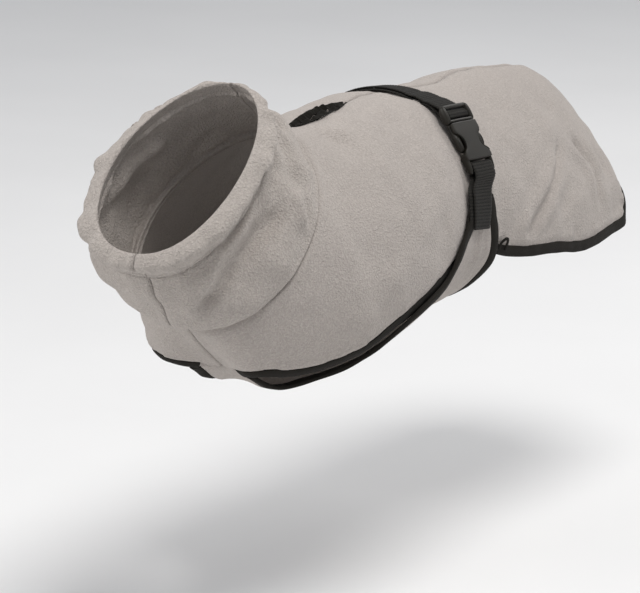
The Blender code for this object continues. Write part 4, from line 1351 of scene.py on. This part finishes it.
class Belt:
    """Places things on the belt's line: down along it, out from it, and sideways to the head."""

    def __init__(self, surface: Surface) -> None:
        """Measure the belt's line.

        Args:
            surface: The surface that it runs over.
        """
        self.surface = surface
        self.line = natural_spline(BELT_LINE)(np.linspace(0, len(BELT_LINE) - 1, 80))
        self.angles = np.linspace(300, 75, 451)
        length = run_length(surface.point(self.t_at(self.angles), self.angles))
        self.along = length - np.interp(-BUCKLE_TOP_ANGLE, -self.angles, length)

    def t_at(self, angle: Array) -> Array:
        """t of the belt's middle at an angle from 75 to 300."""
        return np.interp(np.where(angle > 180, 360 - angle, angle), self.line[:, 1], self.line[:, 0])

    def axes(self, along: Array) -> tuple[Array, Array, Array]:
        """The belt's line and its frame.

        Args:
            along: Distances down the belt from the buckle's top edge.

        Returns:
            The line's point, and the directions out and to the head.
        """
        along = np.asarray(along, float)
        angle = np.interp(along, self.along, self.angles)
        t = self.t_at(angle)
        up = self.surface.normal(t, angle)
        down = self.surface.smooth(self.t_at(angle - 0.5), angle - 0.5)
        head = unit(np.cross(unit(down - self.surface.smooth(self.t_at(angle + 0.5), angle + 0.5)), up))
        stiff = (smooth_step(*STIFF_FROM, along) * (1 - smooth_step(*STIFF_TO, along)))[..., None]
        turned = (smooth_step(*STIFF_FROM, along) * (1 - smooth_step(*TURN_TO, along)))[..., None]
        centre = self.surface.point(t, angle)
        straight = np.array(STIFF_ORIGIN) + np.cross(STIFF_UP, STIFF_HEADWARD) * along[..., None]
        centre = centre + (straight - centre) * stiff
        up = unit(up + (np.array(STIFF_UP) - up) * stiff)
        head = head + (np.array(STIFF_HEADWARD) - head) * turned
        return centre, up, unit(head - up * (head * up).sum(-1, keepdims=True))

    def place(self, along: Array, out: Array, sideways: Array) -> Array:
        """Points in space.

        Args:
            along: Distances down the belt.
            out: Distances out from its line.
            sideways: Distances to the head.

        Returns:
            A point for each row.
        """
        centre, up, head = self.axes(along)
        return centre + up * np.asarray(out)[..., None] + head * np.asarray(sideways)[..., None]


@dataclass
class Strap:
    """A band of ribbed webbing along a path of (along, out, sideways) rows.

    Attributes:
        name: Name of the node that it stands for.
        belt: The line that the path is measured on.
        path: The path's rows.
        finish: The webbing's material.
        rib_mm: Distance between ribs.
        rounding: How far its corners are rounded.
        step: Distance between its sections.
        fine: Distance between the points that are rounded.
        columns: Points across each face.
    """

    name: str
    belt: Belt
    path: Sequence[Sequence[float]]
    finish: bpy.types.Material
    rib_mm: float = RIB_MM
    rounding: float = 1.4
    step: float = 0.36
    fine: float = 0.4
    columns: int = 15

    def rows(self) -> Array:
        """Round the path's corners.

        Returns:
            Rows of (along, out, sideways), a step apart.
        """
        path = np.asarray(self.path, float)
        length = run_length(path[:, :2])
        at = np.arange(0, length[-1], self.fine)
        rows = np.stack([np.interp(at, length, column) for column in path.T], -1)
        pad = int(self.rounding / self.fine)
        window = np.ones(2 * pad + 1) / (2 * pad + 1)
        for _ in range(2):
            padded = np.pad(rows, ((pad, pad), (0, 0)), mode="reflect", reflect_type="odd")
            rows = np.stack([np.convolve(column, window, mode="valid") for column in padded.T], -1)
        length = run_length(rows[:, :2])
        at = np.linspace(0, length[-1], int(length[-1] / self.step))
        return np.stack([np.interp(at, length, column) for column in rows.T], -1)

    def build(self) -> None:
        """Make the band."""
        rows = self.rows()
        centres = self.belt.place(*rows.T)
        head = self.belt.axes(rows[:, 0])[2]
        ahead = unit(np.gradient(centres, axis=0))
        out = unit(np.cross(ahead, head))
        across = np.concatenate((np.linspace(-1, 1, self.columns), np.linspace(1, -1, self.columns)))
        face = np.repeat((1.0, -1.0), self.columns)
        edge = 1 - 0.5 * smooth_step(0.88, 1.0, np.abs(across))
        rib = np.abs(np.sin(np.pi * run_length(centres) / self.rib_mm))**0.8
        deep = face * (0.45 * edge + 0.40 * rib[:, None] * edge)
        wide = WEBBING_WIDTH / 2 * (0.982 + 0.018 * rib[:, None])
        bm = bmesh.new()
        Maker.tube(bm, centres, head, out, np.stack((across * wide, deep), -1))
        piece = Maker.finish(self.name + "_webbing", bm, self.finish)
        settle(piece, self.name)


@dataclass(frozen=True)
class Bar:
    """A rounded bar of the buckle: rows of (along, sideways, out, half_width, half_height).

    Attributes:
        rows: The bar's rows.
        power: How square its section is.
        cap: How far its ends are rounded.
        steps: Sections along it.
    """

    rows: tuple[tuple[float, float, float, float, float], ...]
    power: float = 3.5
    cap: float = 1.2
    steps: int = 40

    def add(self, bm: bmesh.types.BMesh, belt: Belt) -> None:
        """Add the bar to a mesh, bent to the belt's line.

        Args:
            bm: The mesh.
            belt: The line.
        """
        rows = natural_spline(self.rows)(np.linspace(0, len(self.rows) - 1, 200))
        run = run_length(rows[:, :2])
        at = np.linspace(0, run[-1], self.steps)
        ends = np.linspace(0, self.cap, 6)[:-1] ** 1.6 / max(self.cap, 1e-6) ** 0.6
        at = at[(at > self.cap) & (at < run[-1] - self.cap)]
        at = np.unique(np.concatenate((ends, at, run[-1] - ends)))
        rows = np.stack([np.interp(at, run, column) for column in rows.T], -1)
        ahead = unit(np.gradient(rows[:, :2], axis=0))
        near = np.clip(np.minimum(at, at[-1] - at) / self.cap, 0, 1)
        swell = np.sqrt(1 - (1 - near)**2) * 0.92 + 0.08
        section = rounded(rows[:, 3] * swell, rows[:, 4] * swell, self.power)
        section = np.concatenate((section, section[:, :1]), axis=1)
        side = np.stack((-ahead[:, 1], ahead[:, 0]), -1)
        flat = rows[:, None, :2] + side[:, None] * section[..., :1]
        out = rows[:, None, 2] + section[..., 1]
        points = belt.place(flat[..., 0], out, flat[..., 1])
        Maker.patch(bm, Maker.with_ends(points))


def crossbar(along: float, reach: float, ends: Row, middle: Row, *look: float) -> Bar:
    """A bar across the belt.

    Args:
        along: Its place along the belt.
        reach: Half its length.
        ends: (out, half_width, half_height) at its ends.
        middle: The same at its middle.
        look: What else Bar takes.

    Returns:
        The bar.
    """
    return Bar(((along, -reach, *ends), (along, 0, *middle), (along, reach, *ends)), *look)


def both_sides(rows: Sequence[Sequence[float]], *look: float) -> list[Bar]:
    """The same bar on each side of the belt's middle.

    Args:
        rows: The bar's rows on the head's side.
        look: What else Bar takes.

    Returns:
        Both bars.
    """
    return [Bar(tuple((along, side * sideways, *rest) for along, sideways, *rest in rows), *look)
            for side in (-1, 1)]


@dataclass
class Buckle:
    """The fastened side-release buckle.

    Attributes:
        belt: The line that it lies on.
        finishes: The materials.
        shell_rows: The socket's outline with its round side windows, as (along, half_width).
    """

    belt: Belt
    finishes: Finishes
    shell_rows: tuple[tuple[float, float], ...] = (
        (16.0, 16.1), (18.0, 16.5), (21.0, 16.7), (23.6, 16.6), (25.4, 15.3), (27.0, 12.9), (29.0, 11.0),
        (31.5, 10.0), (34.0, 9.8), (36.5, 10.2), (38.6, 11.4), (40.2, 13.2), (41.6, 15.2), (43.4, 16.5),
        (46.0, 16.8), (49.0, 16.4),
    )

    def latch(self) -> list[Bar]:
        """Shape the latch.

        Returns:
            The bars of its ladder-lock end and its two spring arms.
        """
        return [
            crossbar(1.9, 15.2, (3.3, 1.6, 0.95), (3.75, 1.6, 1.0), 3.0),
            crossbar(8.6, 15.4, (1.8, 1.3, 1.0), (1.8, 1.3, 1.0)),
            crossbar(14.4, 16.2, (2.2, 1.3, 3.1), (2.4, 1.35, 3.45), 4.0),
            *both_sides((
                (0.3, 14.9, 2.6, 1.1, 1.5), (3.2, 15.4, 2.5, 1.7, 2.9), (7.5, 15.6, 2.5, 2.0, 3.5),
                (12.0, 15.6, 2.5, 2.0, 3.5), (16.2, 15.6, 2.4, 1.8, 3.2)), 2.3, 2.4, 60),
            *both_sides((
                (15.2, 13.6, 1.4, 2.4, 1.7), (22.0, 13.7, 1.4, 2.6, 1.8), (26.0, 14.0, 1.7, 2.6, 2.4),
                (29.0, 14.1, 1.9, 2.8, 2.9), (34.0, 14.0, 1.9, 2.9, 2.9), (38.0, 13.5, 1.8, 2.5, 2.7),
                (40.6, 12.9, 1.7, 1.9, 2.3)), 2.5, 2.6, 60),
            *both_sides((
                (28.2, 15.2, 4.4, 0.45, 0.5), (32.0, 15.6, 4.7, 0.5, 0.55), (36.0, 15.2, 4.6, 0.5, 0.5),
                (39.4, 13.9, 4.1, 0.4, 0.45)), 2.0, 0.8),
        ]

    def socket(self) -> list[Bar]:
        """Shape the socket.

        Returns:
            Its shell, the closed end, the bar for the webbing loop, the windows' rims and the lugs.
        """
        shell = []
        for along, half in self.shell_rows:
            crown = 0.12 * math.sin((along - self.shell_rows[0][0]) / 32 * math.pi)
            shell.append((along, 0, 4.85, half, 1.45 + crown))
        return [
            Bar(tuple(shell), 9.0, 0.7, 90),
            Bar(((26.5, 0, 1.4, 8.2, 2.6), (33.5, 0, 1.4, 8.6, 2.6), (41.0, 0, 1.4, 9.2, 2.6)), 6.0, 0.5),
            Bar(((41.6, 0, 1.5, 14.4, 2.7), (45.0, 0, 1.5, 14.8, 2.7), (48.9, 0, 1.6, 14.6, 2.6)), 8.0, 0.6),
            crossbar(54.1, 15.0, (1.9, 1.4, 1.15), (1.9, 1.4, 1.15)),
            *both_sides([(along, half - 0.25, 6.15, 0.5, 0.5) for along, half in self.shell_rows[4:14]],
                        2.0, 0.8, 70),
            *both_sides((
                (42.0, 14.9, 2.1, 1.7, 3.2), (46.0, 15.1, 2.1, 1.8, 3.4), (51.0, 15.1, 2.0, 1.7, 3.1),
                (56.0, 14.9, 1.7, 1.6, 2.6), (59.6, 14.4, 1.4, 1.2, 1.9)), 2.3, 2.4, 60),
        ]

    def build(self) -> None:
        """Make both halves."""
        for name, bars in (("latch", self.latch()), ("socket", self.socket())):
            bm = bmesh.new()
            for bar in bars:
                bar.add(bm, self.belt)
            piece = Maker.finish("buckle_" + name + "_moulded", bm, self.finishes.plastic)
            settle(piece, "buckle_" + name)


@dataclass
class HemLoop:
    """A short elastic loop on the hem behind a wing.

    Attributes:
        name: Name of the node that it stands for.
        hem: The bound edge.
        side: 1 on the wearer's left, -1 on its right.
        finish: The elastic's material.
        half: Half of its reach along the hem.
        height: How far it stands up from the hem.
        out: How far it stands off the hem's middle, and how far its bend leans out.
        band: Half of the elastic's width and of its thickness.
    """

    name: str
    hem: EdgeLine
    side: float
    finish: bpy.types.Material
    half: float = 4.4
    height: float = 8.6
    out: tuple[float, float] = (1.9, 1.6)
    band: tuple[float, float] = (1.35, 0.7)

    def build(self) -> None:
        """Make the loop."""
        place = self.hem.at([self.hem.share(LOOP_ROW)], self.side)
        centre, up, ahead, inward = (place[key][0] for key in ("centre", "up", "ahead", "across"))
        inward = inward * self.side
        turn = np.linspace(-0.12, np.pi + 0.12, 60)[:, None]
        points = centre + inward * (1.6 + self.height * np.sin(turn)) + ahead * self.half * np.cos(turn)
        points = points + up * (self.out[0] + self.out[1] * np.sin(turn)**2)
        forward = unit(np.gradient(points, axis=0))
        out = np.repeat(up[None], len(points), axis=0)
        bm = bmesh.new()
        Maker.tube(bm, points, unit(np.cross(out, forward)), out, rounded(*self.band, 2.6, 16))
        settle(Maker.finish(self.name + "_elastic", bm, self.finish), self.name)


# ---------------------------------------------------------------- the studio

@dataclass(frozen=True)
class Studio:
    """The floor, the lights and the camera.

    Attributes:
        target: What the camera looks at, in metres.
        azimuth: Camera's turn from -Y towards +X, in degrees.
        elevation: Camera's height angle, in degrees.
        distance: From the target, in metres.
        lens: Focal length in millimetres on a 36 mm sensor.
        floor_z: Height of the floor.
    """

    target: tuple[float, float, float] = (0.0, -0.0861, -0.14546)
    azimuth: float = 33.0
    elevation: float = 14.5
    distance: float = 2.6
    lens: float = 187.2
    floor_z: float = -0.372

    def aim(self, thing: bpy.types.Object, at: Vector) -> None:
        """Turn a thing's -Z axis to a point."""
        thing.rotation_euler = (at - thing.location).to_track_quat("-Z", "Y").to_euler()

    def camera(self) -> None:
        """Make the camera."""
        a, e = math.radians(self.azimuth), math.radians(self.elevation)
        back = Vector((math.sin(a) * math.cos(e), -math.cos(a) * math.cos(e), math.sin(e)))
        data = bpy.data.cameras.new("camera")
        data.lens, data.sensor_width, data.clip_end = self.lens, 36.0, 50.0
        thing = bpy.data.objects.new("camera", data)
        thing.location = Vector(self.target) + back * self.distance
        self.aim(thing, Vector(self.target))
        bpy.context.scene.collection.objects.link(thing)
        bpy.context.scene.camera = thing

    def light(self, name: str, place: tuple[float, float, float], size: float, power: float,
              colour: Colour = (1.0, 0.985, 0.965)) -> None:
        """Make one soft round light that looks at the coat.

        Args:
            name: Its name.
            place: Where it stands, in metres.
            size: Its width in metres.
            power: In watts.
            colour: Its colour.
        """
        data = bpy.data.lights.new(name, "AREA")
        data.shape, data.size, data.energy, data.color = "DISK", size, power, colour
        thing = bpy.data.objects.new(name, data)
        thing.location = Vector(place)
        self.aim(thing, Vector((0, 0, -0.08)))
        bpy.context.scene.collection.objects.link(thing)

    def floor(self) -> None:
        """Make the pale floor."""
        g = Graph("floor_paper")
        space = g.node("ShaderNodeTexCoord").outputs["Object"]
        paper = g.ramp(g.noise(space, 3.0, 3.0), 0.2, 0.8, (0.80, 0.80, 0.80), (0.84, 0.84, 0.84))
        g.wire({"Base Color": paper, "Roughness": 0.9})
        bm = bmesh.new()
        bmesh.ops.create_grid(bm, x_segments=8, y_segments=8, size=9.0)
        mesh = bpy.data.meshes.new("floor")
        bm.to_mesh(mesh)
        bm.free()
        mesh.transform(Matrix.Translation((0, 0, self.floor_z)))
        mesh.materials.append(g.material)
        thing = bpy.data.objects.new("floor", mesh)
        bpy.context.scene.collection.objects.link(thing)

    def build(self) -> None:
        """Make everything round the coat."""
        self.camera()
        self.floor()
        self.light("key", (0.8, -0.4, 2.2), 1.3, 39.0)
        self.light("fill", (-1.7, -2.1, 1.1), 1.6, 27.0)
        self.light("back", (0.4, 2.0, 1.5), 1.4, 16.0)
        world = bpy.data.worlds.new("studio")
        world.use_nodes = True
        shade = world.node_tree.nodes["Background"]
        shade.inputs["Color"].default_value = (0.95, 0.965, 1.0, 1.0)
        shade.inputs["Strength"].default_value = 0.47
        bpy.context.scene.world = world
        bpy.context.scene.view_settings.view_transform = "Standard"


def main() -> None:
    """Build the coat and its studio."""
    logging.basicConfig(level=logging.INFO, format="%(message)s")
    finishes = Finishes()
    body = Surface(BODY_RINGS, BODY_CREASES, BELT_LINE[-1][0])
    flap = Surface(FLAP_RINGS, FLAP_CREASES)
    collar = Surface(COLLAR_RINGS, COLLAR_CREASES)
    hem = EdgeLine(body, HEM_LINE)
    front = EdgeLine(flap, FLAP_FRONT_LINE, flap_lift)
    rear = EdgeLine(flap, FLAP_REAR_LINE, flap_lift)
    CoatBody(body, hem, finishes).build()
    Collar(collar, finishes).build()
    BellyFlap(flap, front, EdgeLine(flap, FLAP_REAR_HALF, flap_lift), finishes).build()
    for name, side in SIDES:
        EdgeTape("hem_binding_" + name, hem, side, finishes.tape, 1.0, (4.7, 6.7, 3.6)).build()
        EdgeTape("flap_binding_" + name, front, side, finishes.tape, -1.0).build()
        HemLoop("hem_loop_" + name, hem, side, finishes.elastic).build()
    EdgeTape("flap_rear_binding", rear, 1.0, finishes.tape).build()
    LeadSlit(body, finishes).build()
    belt = Belt(Surface(BODY_RINGS))
    Strap("belt_strap", belt, BELT_PATH, finishes.webbing).build()
    Strap("socket_strap", belt, SOCKET_PATH, finishes.webbing).build()
    Buckle(belt, finishes).build()
    Studio().build()


if __name__ == "__main__":
    main()
